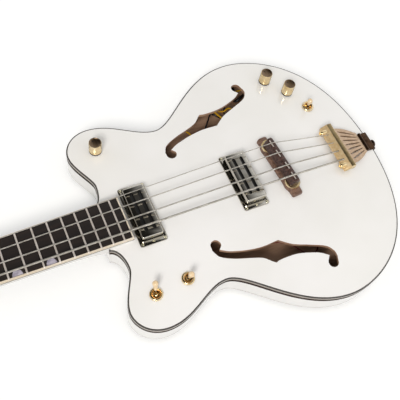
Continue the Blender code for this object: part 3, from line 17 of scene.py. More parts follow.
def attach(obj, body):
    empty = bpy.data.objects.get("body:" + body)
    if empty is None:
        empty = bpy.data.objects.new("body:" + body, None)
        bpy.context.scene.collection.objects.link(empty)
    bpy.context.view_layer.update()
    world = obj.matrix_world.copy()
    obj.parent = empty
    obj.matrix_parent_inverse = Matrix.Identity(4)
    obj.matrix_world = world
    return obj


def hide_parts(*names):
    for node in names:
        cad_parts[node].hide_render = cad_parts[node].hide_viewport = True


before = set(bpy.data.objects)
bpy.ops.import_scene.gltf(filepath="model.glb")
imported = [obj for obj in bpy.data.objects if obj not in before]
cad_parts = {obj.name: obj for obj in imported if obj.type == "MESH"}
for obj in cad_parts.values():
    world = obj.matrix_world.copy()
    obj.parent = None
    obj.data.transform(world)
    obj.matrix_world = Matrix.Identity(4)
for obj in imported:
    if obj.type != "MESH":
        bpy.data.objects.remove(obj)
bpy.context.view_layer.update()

# %% [markdown]
# ## The camera
# The instrument lies on its back, and the camera looks down on the bass side of its body.
# A slightly long lens keeps the body's curves free of wide-angle stretching.
# The three directions of the view are turned into a rotation, which is easier to read than angles.

# %% Place the camera
camera_data = bpy.data.cameras.new("camera")
camera_data.sensor_width = 36
camera_data.lens = 54.4
camera_data.shift_x, camera_data.shift_y = -0.0065, 0.011
camera = bpy.data.objects.new("camera", camera_data)
bpy.context.scene.collection.objects.link(camera)
look = Vector((0.302, 0.383, -0.873)).normalized()
right = look.cross(Vector((0.303, 0.829, 0.469))).normalized()
turn = Matrix((right, right.cross(look), -look)).transposed().to_4x4()
camera.matrix_world = Matrix.Translation((-0.367, -0.3162, 0.7359)) @ turn
bpy.context.scene.camera = camera
bpy.context.scene.view_settings.view_transform = "Standard"
print("The camera looks along", [round(c, 3) for c in look])

# %% [markdown]
# ## Colours and nodes
# Colours are picked on a screen as sRGB hex codes, but Blender's sockets take linear light, so
# one function turns the first into the second. A second function adds a shader node together
# with its settings and links. It keeps every material below short enough to read at a glance.

# %% Helpers for colours and nodes
def linear(code):
    """An sRGB hex colour as the linear values that Blender's sockets take."""
    channels = [int(code[i:i + 2], 16) / 255 for i in (1, 3, 5)]
    return [c / 12.92 if c <= 0.04045 else ((c + 0.055) / 1.055) ** 2.4 for c in channels] + [1]


def add_node(tree, kind, inputs=None, **settings):
    """A node with its settings; each input gets a value or the socket that feeds it."""
    made = tree.nodes.new("ShaderNode" + kind)
    for name, value in settings.items():
        setattr(made, name, value)
    for name, value in (inputs or {}).items():
        if isinstance(value, bpy.types.NodeSocket):
            tree.links.new(value, made.inputs[name])
        else:
            made.inputs[name].default_value = value
    return made


print("White is", [round(c, 3) for c in linear("#FFFFFF")])

# %% [markdown]
# ## Floor and light
# The instrument lies on a matt white table. A little glow lifts the table to pure white where
# the lamp reaches less, and only the camera and reflections see it. Light that bounces off
# the table meets a grey, or the table would light the sides more than the lamp does the top.

# %% Lay the floor
LAMP_PLACE = (-1.38, -1.42, 2.02)


def any_of(tree, *sockets):
    """A socket that is 1 where any of the given ones is."""
    total = sockets[0]
    for socket in sockets[1:]:
        both = {0: total, 1: socket}
        total = add_node(tree, "Math", both, operation="ADD", use_clamp=True).outputs[0]
    return total


floor_paint = bpy.data.materials.new("matt_white_table")
floor_paint.use_nodes = True
tree = floor_paint.node_tree
tree.nodes.remove(tree.nodes["Principled BSDF"])
rays = add_node(tree, "LightPath").outputs
seen = any_of(tree, rays["Is Camera Ray"], rays["Is Glossy Ray"], rays["Is Transmission Ray"])
spot = add_node(tree, "TexCoord").outputs["Object"]
away = add_node(tree, "VectorMath", {0: spot, 1: (*LAMP_PLACE[:2], 0)}, operation="DISTANCE")
lift = add_node(tree, "MapRange", {
    "Value": away.outputs["Value"], "From Min": 1.2, "From Max": 2.8, "To Min": 0.2,
    "To Max": 0.48,
})
strength = add_node(tree, "Math", {0: seen, 1: lift.outputs[0]}, operation="MULTIPLY")
glow = add_node(tree, "Emission", {"Color": linear("#FFFFFF"), "Strength": strength.outputs[0]})
shade = add_node(tree, "Mix", {
    0: seen, 6: linear("#A8A8A7"), 7: linear("#E1E1E0"),
}, data_type="RGBA")
matt = add_node(tree, "BsdfDiffuse", {"Color": shade.outputs[2]})
both = add_node(tree, "AddShader", {0: glow.outputs[0], 1: matt.outputs[0]})
tree.links.new(both.outputs[0], tree.nodes["Material Output"].inputs["Surface"])

bm = bmesh.new()
bmesh.ops.create_grid(bm, x_segments=1, y_segments=1, size=6)
floor_mesh = bpy.data.meshes.new("floor")
bm.to_mesh(floor_mesh)
bm.free()
floor_mesh.materials.append(floor_paint)
floor = bpy.data.objects.new("floor", floor_mesh)
bpy.context.scene.collection.objects.link(floor)
print("The floor is", floor.dimensions.x, "m wide")

# %% [markdown]
# Lacquer and plated metal show what they mirror, so the sky has three faces: an even light
# that falls on the scene, plain white for the camera, and one for reflections. That one is
# white near the horizon and dim overhead, as in a studio with bright walls.

# %% Light the sky
world = bpy.data.worlds.new("studio")
bpy.context.scene.world = world
world.use_nodes = True
tree = world.node_tree
tree.nodes.remove(tree.nodes["Background"])
way = add_node(tree, "TexCoord").outputs["Generated"]
lift = add_node(tree, "VectorMath", {0: way, 1: (-0.35, 0.12, 0.93)}, operation="DOT_PRODUCT")
dim = add_node(tree, "MapRange", {
    "Value": lift.outputs["Value"], "From Min": 0.5, "From Max": 0.84,
}, interpolation_type="SMOOTHSTEP")
ceiling = add_node(tree, "Mix", {
    0: dim.outputs[0], 6: linear("#FFFFFF"), 7: linear("#201F1C"),
}, data_type="RGBA")
even, mirrored, white = (
    add_node(tree, "Background", {"Color": colour, "Strength": strength}).outputs[0]
    for colour, strength in (
        (linear("#FCFCFB"), 0.6), (ceiling.outputs[2], 1.0), (linear("#FFFFFF"), 1.0)
    )
)
rays = add_node(tree, "LightPath").outputs
mirror = any_of(tree, rays["Is Glossy Ray"], rays["Is Transmission Ray"])
lit = add_node(tree, "MixShader", {0: mirror, 1: even, 2: mirrored})
final = add_node(tree, "MixShader", {0: rays["Is Camera Ray"], 1: lit.outputs[0], 2: white})
tree.links.new(final.outputs[0], tree.nodes["World Output"].inputs["Surface"])
print("The sky has", len(tree.nodes), "nodes")

# %% [markdown]
# One soft lamp stands past the neck on the bass side, so every part throws a soft shadow away
# from the camera. A faint one past the tail puts a second glint into the metal.


# %% Hang the lamps
def soft_lamp(name, place, size, watts):
    """A rectangular lamp that faces the body."""
    data = bpy.data.lights.new(name, "AREA")
    data.shape, data.size, data.size_y = "RECTANGLE", size[0], size[1]
    data.energy = watts
    data.color = linear("#FFFCF8")[:3]
    lamp = bpy.data.objects.new(name, data)
    bpy.context.scene.collection.objects.link(lamp)
    way = (Vector((-0.1, 0, 0)) - Vector(place)).to_track_quat("-Z", "Y")
    lamp.matrix_world = Matrix.Translation(place) @ way.to_matrix().to_4x4()


soft_lamp("key", LAMP_PLACE, (0.75, 0.75), 40)
soft_lamp("glint", (0.9, -0.9, 1.5), (1.2, 0.8), 0.8)
print("Two lamps face the body")

# %% [markdown]
# ## Drawing in millimetres
# Instrument makers work in millimetres, so every form below is drawn in them, and the last
# step turns a finished piece into metres, gives it its materials and lets it ride on a body.
# Each small form is a bmesh of its own. Its faces are turned outwards before it is put
# together with others, because a whole of many shells is harder to set right.

# %% Helpers for forms
def ring(bm, points, closed=True):
    """Points joined by edges."""
    verts = [bm.verts.new(p) for p in points]
    ends = verts[1:] + (verts[:1] if closed else [])
    return verts, [bm.edges.new(pair) for pair in zip(verts, ends)]


def outward(bm):
    """The faces of one closed shell turned outwards, after its doubles are merged."""
    bmesh.ops.remove_doubles(bm, verts=bm.verts, dist=1e-4)
    bmesh.ops.recalc_face_normals(bm, faces=bm.faces)
    if bm.calc_volume(signed=True) < 0:
        bmesh.ops.reverse_faces(bm, faces=bm.faces)
    return bm


def together(*shapes):
    """Several forms as one; each is a bmesh, or a bmesh with its material's number."""
    whole = bmesh.new()
    for shape in shapes:
        bm, index = shape if isinstance(shape, tuple) else (shape, None)
        if index is not None:
            for face in bm.faces:
                face.material_index = index
        mesh = bpy.data.meshes.new("form")
        bm.to_mesh(mesh)
        bm.free()
        whole.from_mesh(mesh)
        bpy.data.meshes.remove(mesh)
    return whole


def painted(bm, rule):
    """The form with a material's number on each face, by a rule on its middle and normal."""
    bm.normal_update()
    for face in bm.faces:
        face.material_index = int(rule(face.calc_center_median(), face.normal))
    return bm


def about(axis, degrees):
    """A turn about an axis."""
    return Matrix.Rotation(math.radians(degrees), 4, axis)


def moved(bm, place=(0, 0, 0), turn=None):
    """The form turned by a matrix and carried to a place."""
    matrix = Matrix.Translation(place) @ (turn or Matrix.Identity(4))
    bmesh.ops.transform(bm, matrix=matrix, verts=bm.verts)
    return bm


def piece(name, bm, materials, replaces=(), body="body", sharp=35):
    """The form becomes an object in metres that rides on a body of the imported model."""
    bmesh.ops.scale(bm, vec=(0.001,) * 3, verts=bm.verts)
    mesh = bpy.data.meshes.new(name)
    bm.to_mesh(mesh)
    bm.free()
    for made in materials if isinstance(materials, list) else [materials]:
        mesh.materials.append(made)
    mesh.shade_smooth()
    mesh.set_sharp_from_angle(angle=math.radians(sharp))
    made = bpy.data.objects.new(name, mesh)
    bpy.context.scene.collection.objects.link(made)
    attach(made, body)
    if replaces:
        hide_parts(*replaces)
    print(name, "has", len(mesh.polygons), "faces")
    return made


# %% [markdown]
# Outlines are lists of flat points, put together from arcs. A plate is cut to them and
# raised. Sharp edges catch no light, so a plate's edges are bevelled by the tenth of a
# millimetre or more that a file or a polishing wheel takes off.

# %% Outlines and plates
def arc(centre, radius, start, end, count):
    """Points on a circle between two angles in degrees."""
    angles = [math.radians(start + (end - start) * i / (count - 1)) for i in range(count)]
    return [
        (centre[0] + radius * math.cos(a), centre[1] + radius * math.sin(a)) for a in angles
    ]


def circle(centre, radius, count=24):
    """Points all round a circle."""
    return arc(centre, radius, 0, 360 - 360 / count, count)


def rounded(x, y, length, width, corner, count=6):
    """A rectangle's outline with rounded corners, about a middle point."""
    made = []
    for start, (sx, sy) in zip((0, 90, 180, 270), ((1, 1), (-1, 1), (-1, -1), (1, -1))):
        centre = (x + sx * (length / 2 - corner), y + sy * (width / 2 - corner))
        made += arc(centre, corner, start, start + 90, count)
    return made


def soften(bm, width, segments=2, angle=40):
    """Bevels the edges that are sharper than the angle."""
    sharp = [
        e for e in bm.edges
        if len(e.link_faces) == 2 and e.calc_face_angle(0) > math.radians(angle)
    ]
    bmesh.ops.bevel(
        bm, geom=sharp, offset=width, segments=segments, affect="EDGES", profile=0.5,
        material=-1, clamp_overlap=True,
    )
    return bm


def slab(outlines, low, high, edge=0.0, segments=2):
    """A plate cut to the outlines: the first is its edge, and the others are holes."""
    bm = bmesh.new()
    for outline in outlines:
        ring(bm, [(x, y, low) for x, y in outline])
    if len(outlines) == 1:
        bm.faces.new(bm.verts)
    else:
        bmesh.ops.triangle_fill(bm, edges=bm.edges[:], use_beauty=True)
        bmesh.ops.dissolve_limit(bm, angle_limit=0.002, verts=bm.verts, edges=bm.edges)
    up = bmesh.ops.extrude_face_region(bm, geom=bm.faces[:])
    raised = [v for v in up["geom"] if isinstance(v, bmesh.types.BMVert)]
    bmesh.ops.translate(bm, vec=(0, 0, high - low), verts=raised)
    outward(bm)
    return soften(bm, edge, segments) if edge else bm


print("A circle takes", len(circle((0, 0), 1)), "points")

# %% [markdown]
# Three more ways of making a form cover nearly all the rest: a piece turned about an axis,
# a form drawn through several sections, and a round wire along a line. Cutting one form out
# of another is left to Blender's Boolean modifier, which is sure where operators aren't.

# %% Turned, drawn and cut forms
def turned(profile, steps=40, closed=False):
    """A piece turned about Z from a profile of (radius, height)."""
    bm = bmesh.new()
    verts, edges = ring(bm, [(r, 0, z) for r, z in profile], closed)
    bmesh.ops.spin(
        bm, geom=verts + edges, cent=(0, 0, 0), axis=(0, 0, 1), angle=math.tau,
        steps=steps, use_merge=True,
    )
    return outward(bm)


def rod(radius, start, end, steps=24):
    """A plain cylinder between two heights."""
    return turned([(0, start), (radius, start), (radius, end), (0, end)], steps)


def through(sections):
    """A form drawn through closed sections, with its two ends closed."""
    bm = bmesh.new()
    loops = [ring(bm, section) for section in sections]
    for (_, edges), (_, following) in zip(loops, loops[1:]):
        bmesh.ops.bridge_loops(bm, edges=edges + following)
    bm.faces.new(loops[0][0])
    bm.faces.new(loops[-1][0])
    return outward(bm)


def wire(points, radius, sides=12):
    """A round wire along a line of points."""
    guide = bpy.data.curves.new("line", "CURVE")
    guide.dimensions = "3D"
    guide.bevel_depth = radius
    guide.bevel_resolution = max(0, sides // 4 - 1)
    guide.use_fill_caps = True
    line = guide.splines.new("POLY")
    line.points.add(len(points) - 1)
    for point, place in zip(line.points, points):
        point.co = (*place, 1)
    holder = bpy.data.objects.new("line", guide)
    bm = bmesh.new()
    bm.from_mesh(holder.to_mesh())
    bpy.data.objects.remove(holder)
    bpy.data.curves.remove(guide)
    return outward(bm)


def carved(bm, cutter, operation="DIFFERENCE"):
    """The form with the cutter taken from it, by Blender's Boolean modifier."""
    held = []
    for form in (bm, cutter):
        mesh = bpy.data.meshes.new("form")
        form.to_mesh(mesh)
        form.free()
        held.append(bpy.data.objects.new("form", mesh))
        bpy.context.scene.collection.objects.link(held[-1])
    cut = held[0].modifiers.new("cut", "BOOLEAN")
    cut.object, cut.operation, cut.solver = held[1], operation, "EXACT"
    depsgraph = bpy.context.evaluated_depsgraph_get()
    made = bmesh.new()
    made.from_mesh(held[0].evaluated_get(depsgraph).to_mesh())
    for one in held:
        bpy.data.objects.remove(one)
    return made


def flowing(points, steps):
    """A smooth line through points; each handle lies along the way between neighbours."""
    p = [Vector(q) for q in points]
    ways = [(b - a).normalized() for a, b in zip(p[:1] + p[:-1], p[1:] + p[-1:])]
    made = []
    for a, b, way_a, way_b in zip(p, p[1:], ways, ways[1:]):
        third = (b - a).length / 3
        made += interpolate_bezier(a, a + way_a * third, b - way_b * third, b, steps)[:-1]
    return [tuple(q[:len(points[0])]) for q in made] + [tuple(points[-1])]


print("The helpers are ready")

# %% [markdown]
# ## The finishes
# Most finishes on an instrument are one material that drifts a little in tone, is polished
# a little unevenly and has a fine grain. One function makes these from real sizes: how wide
# the patches of tone are, how coarse the grain is and how deep it goes, all in millimetres.
# The grain is stretched along wood and brushed metal. Patterns follow the object's own
# coordinates, which are metres, so a size in millimetres becomes a scale of 1000 over it.

# %% A finish from real sizes
def finish(name, light, dark, patch, rough, grain, depth, stretch=(1, 1, 1), own=None):
    """A material that drifts between two colours, with a grain and an uneven polish."""
    made = bpy.data.materials.new(name)
    made.use_nodes = True
    tree = made.node_tree
    shader = tree.nodes["Principled BSDF"]
    place = add_node(tree, "TexCoord").outputs["Object"]
    drawn = add_node(tree, "Mapping", {"Vector": place, "Scale": stretch}).outputs[0]
    patches = add_node(tree, "TexNoise", {
        "Vector": drawn, "Scale": 1000 / patch, "Detail": 3.0, "Roughness": 0.55,
    })
    spread = add_node(tree, "MapRange", {
        "Value": patches.outputs[0], "From Min": 0.36, "From Max": 0.64,
    })
    tone = add_node(tree, "Mix", {
        0: spread.outputs[0], 6: linear(light), 7: linear(dark),
    }, data_type="RGBA")
    fine = add_node(tree, "TexNoise", {"Vector": drawn, "Scale": 1000 / grain, "Detail": 2.0})
    worn = add_node(tree, "MapRange", {
        "Value": fine.outputs[0], "To Min": rough * 0.75, "To Max": rough * 1.3,
    })
    bump = add_node(tree, "Bump", {
        "Height": fine.outputs[0], "Strength": 1.0, "Distance": depth / 1000,
    })
    tree.links.new(tone.outputs[2], shader.inputs["Base Color"])
    tree.links.new(worn.outputs[0], shader.inputs["Roughness"])
    tree.links.new(bump.outputs[0], shader.inputs["Normal"])
    for socket, value in (own or {}).items():
        shader.inputs[socket].default_value = value
    return made


print("A pattern 5 mm wide has the scale", 1000 / 5)

# %% [markdown]
# The body is sprayed with white polyester lacquer and buffed to a deep gloss. A faint orange
# peel of about 3 mm stays in it, and the coat mirrors the lamps sharply over a softer base.
# The edges carry celluloid strips in taupe, near black and brown. The brown one is worn dull,
# because a glossy dark strip would mirror the white table and look grey.

# %% Lacquer and celluloid
ALONG_X = (0.3, 1, 1)
POLISHED = {"Coat Weight": 0.6, "Coat Roughness": 0.1}
white_lacquer = finish(
    "white_polyester_lacquer", "#FBF9F7", "#F5F3EF", 140, 0.22, 3, 0.002,
    own={"Coat Weight": 1.0, "Coat Roughness": 0.04, "IOR": 1.52},
)
taupe_celluloid = finish(
    "taupe_celluloid", "#9E9385", "#8A7E6F", 25, 0.3, 0.8, 0.003, ALONG_X, POLISHED
)
pale_celluloid = finish(
    "pale_celluloid", "#E9DDCB", "#DCCCB4", 25, 0.3, 0.8, 0.003, ALONG_X
)
dark_celluloid = finish(
    "black_celluloid", "#504B47", "#3C3834", 20, 0.3, 0.8, 0.002, own=POLISHED
)
# The same brown also paints the shade round the foot of each knob.
brown_strip_and_painted_shade = finish(
    "brown_strip_and_painted_shade", "#2E1A0D", "#201107", 20, 0.6, 0.8, 0.002,
    own={"Specular IOR Level": 0.1},
)
print("Lacquer and celluloid are mixed")

# %% [markdown]
# Bare wood shows inside the body, where nobody sands it fine: maple plywood for the plates
# and sides, spruce for the blocks and braces. Grain runs along the instrument, so its
# pattern is stretched along X: the rings lie 1 to 3 mm apart and run on for centimetres.

# %% Woods inside
bare_maple = finish(
    "bare_maple_plywood", "#B9957B", "#94725A", 9, 0.7, 1.2, 0.05, (0.12, 1, 1)
)
spruce = finish("spruce", "#C79F6C", "#A67B49", 3, 0.65, 1.0, 0.06, (0.06, 1, 1))
print("The woods inside are", bare_maple.name, "and", spruce.name)


# %% [markdown]
# The fretboard and the bridge are rosewood. Two things make it look like rosewood: dark
# streaks along the grain, and open pores, short thin grooves that finger oil has darkened.
# The board is nearly black with use, the bridge's base is dry and pale, and its saddle is
# polished. One function makes all three.

# %% Rosewood
def rosewood(name, light, dark, rough):
    """Streaks 2.5 mm wide along X, with pores about 0.35 mm wide and 5 mm long."""
    made = finish(name, light, dark, 2.5, rough, 0.9, 0.02, (0.05, 1, 1))
    tree = made.node_tree
    shader = tree.nodes["Principled BSDF"]
    place = add_node(tree, "TexCoord").outputs["Object"]
    drawn = add_node(tree, "Mapping", {"Vector": place, "Scale": (0.07, 1, 1)}).outputs[0]
    pores = add_node(tree, "TexVoronoi", {"Vector": drawn, "Scale": 1000 / 0.9})
    open_pore = add_node(tree, "MapRange", {
        "Value": pores.outputs["Distance"], "From Min": 0.12, "From Max": 0.3,
    })
    streaks = shader.inputs["Base Color"].links[0].from_socket
    pored = add_node(tree, "Mix", {
        0: open_pore.outputs[0], 6: linear("#0C0705"), 7: streaks,
    }, data_type="RGBA")
    tree.links.new(pored.outputs[2], shader.inputs["Base Color"])
    return made


board_rosewood = rosewood("oiled_rosewood", "#241812", "#150E0B", 0.5)
base_rosewood = rosewood("worn_rosewood", "#8C6C5A", "#5E4336", 0.4)
saddle_rosewood = rosewood("polished_rosewood", "#5A4038", "#33221D", 0.33)
print("Rosewood in three tones")


# %% [markdown]
# Metals: the hardware is gold plated brass that has dulled a little, and the pickup covers
# and tuners are nickel plated, which is warmer than chromium. A plated surface has no grain
# of its own. It shows faint polishing marks, and fingers leave duller places on it. Metals
# keep the default index of refraction. Worn plating, where dirt and bare places scatter the
# light, is drawn as part metal and part paint, which keeps it bright under a dim ceiling.

# %% Plated and bare metals
def metal(*values, share=1.0):
    """A finish of metal, or of worn metal by a smaller share."""
    return finish(*values, own={"Metallic": share})


gold = metal("gold_plate", "#EDDAB4", "#DCC290", 12, 0.2, 0.5, 0.003)
# A darker copy of the gold, painted shade for the dish of each toggle nut.
dish_painted_shade_gold = metal("worn_gold_plate", "#CFA066", "#A87038", 6, 0.24, 0.5, 0.003)
# A paler, partly matt copy of the gold, painted light for the tailpiece bar's front slope that
# faces the lamp.
slope_painted_light_gold = metal("matt_gold_plate", "#F0D6AA", "#E2C08A", 5, 0.5, 0.5, 0.006, share=0.6)
# A darker copy of the gold, painted shade for the dim ceiling that the bar's flat top mirrors.
bar_top_painted_shade_gold = metal("aged_gold_plate", "#AE9A74", "#998560", 6, 0.35, 0.5, 0.004)
# A duller, pinkish copy of the gold, painted reflection for the tilted openwork plate.
openwork_painted_reflection_gold = metal("rose_gold_plate", "#CDB399", "#BCA083", 5, 0.35, 0.5, 0.004, share=0.7)
pale_gold = metal("pale_gold_screw", "#E2DCC4", "#CCC4A4", 6, 0.25, 0.5, 0.002, share=0.9)
# Brushed gold for the knobs' tops, darker than their sides; on the raised rims that dark is a
# painted reflection.
top_gold_and_painted_reflection = metal(
    "brushed_gold_plate", "#84705C", "#66533F", 4, 0.32, 0.4, 0.004, (1, 0.15, 1)
)
dark_bronze = metal("darkened_bronze", "#5A4434", "#3E2E22", 7, 0.3, 0.5, 0.004)
nickel = metal("nickel_plate", "#C9C5BC", "#B5B0A5", 15, 0.1, 0.4, 0.001)
fret_wire = metal("nickel_silver_wire", "#E9E0D8", "#D2C8BE", 8, 0.35, 0.4, 0.002, share=0.5)
steel = metal("zinc_plated_steel", "#A9A79F", "#8C8A80", 6, 0.35, 0.5, 0.004)
brass = metal("brass", "#B8954F", "#94733A", 6, 0.3, 0.4, 0.004)
print("Twelve metals")

# %% [markdown]
# A bass string is a steel core wound with nickel wire. The wire's turns lie 0.4 mm apart,
# too fine for this render, so they are drawn 1.2 mm apart, as bands across the string.

# %% Wound strings
TURNS_APART = 1.2
string_wire = metal(
    "nickel_wound_string", "#C6C1B9", "#A8A399", 10, 0.36, 0.5, 0.002, share=0.8
)
tree = string_wire.node_tree
place = add_node(tree, "TexCoord").outputs["Object"]
turns = add_node(tree, "TexWave", {
    "Vector": place, "Scale": 1000 / TURNS_APART / 2, "Distortion": 0.0,
}, bands_direction="X")
bump = add_node(tree, "Bump", {
    "Height": turns.outputs["Fac"], "Strength": 1.0, "Distance": 0.0002,
})
tree.links.new(bump.outputs[0], tree.nodes["Principled BSDF"].inputs["Normal"])
print("The windings are drawn", TURNS_APART, "mm apart")

# %% [markdown]
# The small parts: bone for the nut, ivory-coloured moulded plastic for the toggles' tips,
# black phenolic for the pickups' bobbins and the cover plate, mother of pearl for the
# fretboard's markers, and plastic insulation in three colours for the leads inside.

# %% Bone, plastics and pearl
bone = finish(
    "bone", "#E9DFC8", "#D8CAAA", 6, 0.35, 0.8, 0.006, own={"Subsurface Weight": 0.05}
)
ivory = finish(
    "ivory_plastic", "#F4DBB6", "#EBCB9C", 5, 0.28, 0.6, 0.002,
    own={"Coat Weight": 0.5, "Coat Roughness": 0.08},
)
phenolic = finish("black_phenolic", "#141312", "#0C0B0A", 6, 0.4, 0.5, 0.004)
pearl = finish(
    "mother_of_pearl", "#C9C2CF", "#9E97A6", 4, 0.2, 0.9, 0.002, (0.5, 1, 1),
    own={"Coat Weight": 0.8, "Coat Roughness": 0.05, "Metallic": 0.15},
)
yellow_plastic, black_plastic, red_plastic = (
    finish(f"{name}_insulation", light, dark, 5, 0.4, 0.5, 0.003)
    for name, light, dark in (
        ("yellow", "#E8B41C", "#D09A0C"), ("black", "#1A1516", "#120E0F"),
        ("red", "#7A1F1B", "#641512"),
    )
)
print("Small parts are coloured")

# %% [markdown]
# ## The body's outline
# Half of the outline runs through seven knots, from the middle of the tail round the lower
# bout, the waist, the horn and the cutaway to the neck. At each knot the line runs straight
# along X or along Y, so a bezier curve needs only the lengths of its handles. They are
# shares of the way to the next knot. The other half is the mirror image.

# %% Draw the outline
EDGE = 41.0          # the height of the top's edge over the table
BACK_EDGE = 5.0      # and of the back's edge
ARCH_RISE = 5.5      # how far the middle of the top stands over its edge
STRIP = 1.9          # the width of the strips round the edges
KNOTS = (                # x, y, and the axis along which the line runs there
    (147, 0, "y"), (4.8, 194.7, "x"), (-141.7, 118.6, "x"), (-229, 149.4, "x"),
    (-268.6, 115.3, "y"), (-248.8, 61, "y"), (-263, 32, "x"),
)
HANDLES = (              # the two shares, and the number of points, up to the next knot
    (0.83, 0.285, 60), (0.50, 0.205, 48), (0.313, 0.405, 30),
    (0.68, 0.41, 28), (0.358, 0.212, 26), (0.66, 0.42, 16),
)


def handle(knot, other, share):
    """The handle of one knot, on the way to the other."""
    if knot[2] == "x":
        return Vector((knot[0] + (other[0] - knot[0]) * share, knot[1], 0))
    return Vector((knot[0], knot[1] + (other[1] - knot[1]) * share, 0))


half = []
for knot, other, (reach, back, count) in zip(KNOTS, KNOTS[1:], HANDLES):
    ends = Vector((knot[0], knot[1], 0)), Vector((other[0], other[1], 0))
    curve = interpolate_bezier(
        ends[0], handle(knot, other, reach), handle(other, knot, back), ends[1], count
    )
    half += [(p.x, p.y) for p in curve[:-1]]
half.append(KNOTS[-1][:2])
OUTLINE = half + [(x, -y) for x, y in reversed(half[1:])]
print("The outline has", len(OUTLINE), "points")


# %% [markdown]
# Top and back are pressed into a shallow arch: flat at the edge, rising over a hand's width
# and level in the middle. So a point's height depends on how far it is from the outline.
# Taken as it is, that rule leaves a ridge along the middle of each horn, where two sides
# are equally far. Averaging it over a small disc rounds the ridge, as sanding would.

# %% Work out the arch
def inset(outline, distance):
    """The outline moved inwards by the distance."""
    points = np.array(outline, float)
    along = np.roll(points, -1, axis=0) - points
    along /= np.linalg.norm(along, axis=1)[:, None]
    inward = np.column_stack((-along[:, 1], along[:, 0]))
    before = np.roll(inward, 1, axis=0)
    spread = 1 + (inward * before).sum(axis=1)
    moved_in = points + distance * (inward + before) / spread[:, None]
    return [tuple(p) for p in moved_in.tolist()]


COARSE = np.array(OUTLINE[::3], float)
ALONG = np.roll(COARSE, -1, axis=0) - COARSE
ARCH_WIDTH = 85.0


def arch(x, y):
    """The arch over each point as a share: 0 at the edge, 1 on the level middle."""
    x, y = np.atleast_1d(x).astype(float), np.atleast_1d(y).astype(float)
    total = np.zeros(len(x))
    spots = [(0, 0)] + circle((0, 0), 6, 6) + arc((0, 0), 12, 30, 330, 6)
    for dx, dy in spots:
        offset = np.column_stack((x + dx, y + dy))[:, None, :] - COARSE[None]
        share = ((offset * ALONG).sum(axis=2) / (ALONG ** 2).sum(axis=1)).clip(0, 1)
        nearest = offset - share[..., None] * ALONG
        near = np.sqrt((nearest ** 2).sum(axis=2)).min(axis=1)
        rise = (near / ARCH_WIDTH).clip(0, 1)
        total += rise * rise * (3 - 2 * rise)
    return total / len(spots)


def top_at(x, y):
    """The height of the top at one point."""
    return EDGE + ARCH_RISE * float(arch(x, y)[0])


print("The top is", round(top_at(-60, 0), 2), "mm high in its middle")

# %% [markdown]
# ## The f-holes
# Each f-hole has a round eye at both ends, an inner and an outer side that flow from eye to
# eye, and a pointed notch halfway down each side. The sides are drawn as smooth lines up to
# the notch and from it, so the points stay sharp. The bass side mirrors the treble side.

# %% Draw the f-holes
EYE = 7                  # the radius of an eye
F_INNER = (
    [(-133.5, 79.5), (-124, 85), (-112, 89.2), (-100, 92.5), (-80, 95.5), (-57, 94.8)],
    [(-57, 94.8), (-50, 100.5), (-40, 107.5), (-20, 116), (0, 125.5), (7, 135), (7.5, 142)],
)
F_OUTER = (
    [(-2.5, 138), (-12, 131), (-30, 124), (-45, 120.5), (-65, 120), (-72.5, 121.4)],
    [(-72.5, 121.4), (-77, 117.5), (-85, 110), (-100, 104), (-120, 97.3), (-137.5, 88),
     (-143.2, 77.5)],
)


def f_hole(side):
    """One f-hole's outline, on side 1 or -1."""
    sides = [flowing(part, 5) for part in (*F_INNER, *F_OUTER)]
    line = arc((-136, 72.5), EYE, 168, 392, 22)[:-1] + sides[0][:-1] + sides[1]
    line += arc((-1.5, 148), EYE, 330, 590, 24)[5:-1] + sides[2][:-1] + sides[3]
    return [(x, side * y) for x, y in line[::side]]


print("An f-hole has", len(f_hole(1)), "points")

# %% [markdown]
# ## The plates
# A plate is a fine grid, cut to the outline and its holes by a Boolean and only then bent to
# the arch. Bending comes last because the cut is simple while everything is flat. The even
# squares of the grid also shade more smoothly than the long triangles of a filled outline.

# %% Cut and bend a plate
def bent_plate(outlines, low, high, rise, grid):
    """A plate of two arched faces inside the first outline, with the others cut out."""
    bm = bmesh.new()
    along, across = 430, 404
    middle = -60.3, 0.37     # a little aside, so that no line of the grid falls on a cut
    bmesh.ops.create_grid(
        bm, x_segments=round(along / grid), y_segments=round(across / grid), size=0.5
    )
    bmesh.ops.scale(bm, vec=(along, across, 1), verts=bm.verts)
    bmesh.ops.translate(bm, vec=(*middle, low), verts=bm.verts)
    up = bmesh.ops.extrude_face_region(bm, geom=bm.faces[:])
    raised = [v for v in up["geom"] if isinstance(v, bmesh.types.BMVert)]
    bmesh.ops.translate(bm, vec=(0, 0, high - low), verts=raised)
    bm = carved(outward(bm), slab(outlines, low - 5, high + 5), "INTERSECT")
    bmesh.ops.triangulate(bm, faces=[f for f in bm.faces if len(f.verts) > 4])
    shown_side = math.copysign(1, rise)
    painted(bm, lambda middle, normal: normal.z * shown_side <= 0.5)
    x, y = np.array([v.co.x for v in bm.verts]), np.array([v.co.y for v in bm.verts])
    for vert, lift in zip(bm.verts, arch(x, y)):
        vert.co.z += rise * lift
    return bm


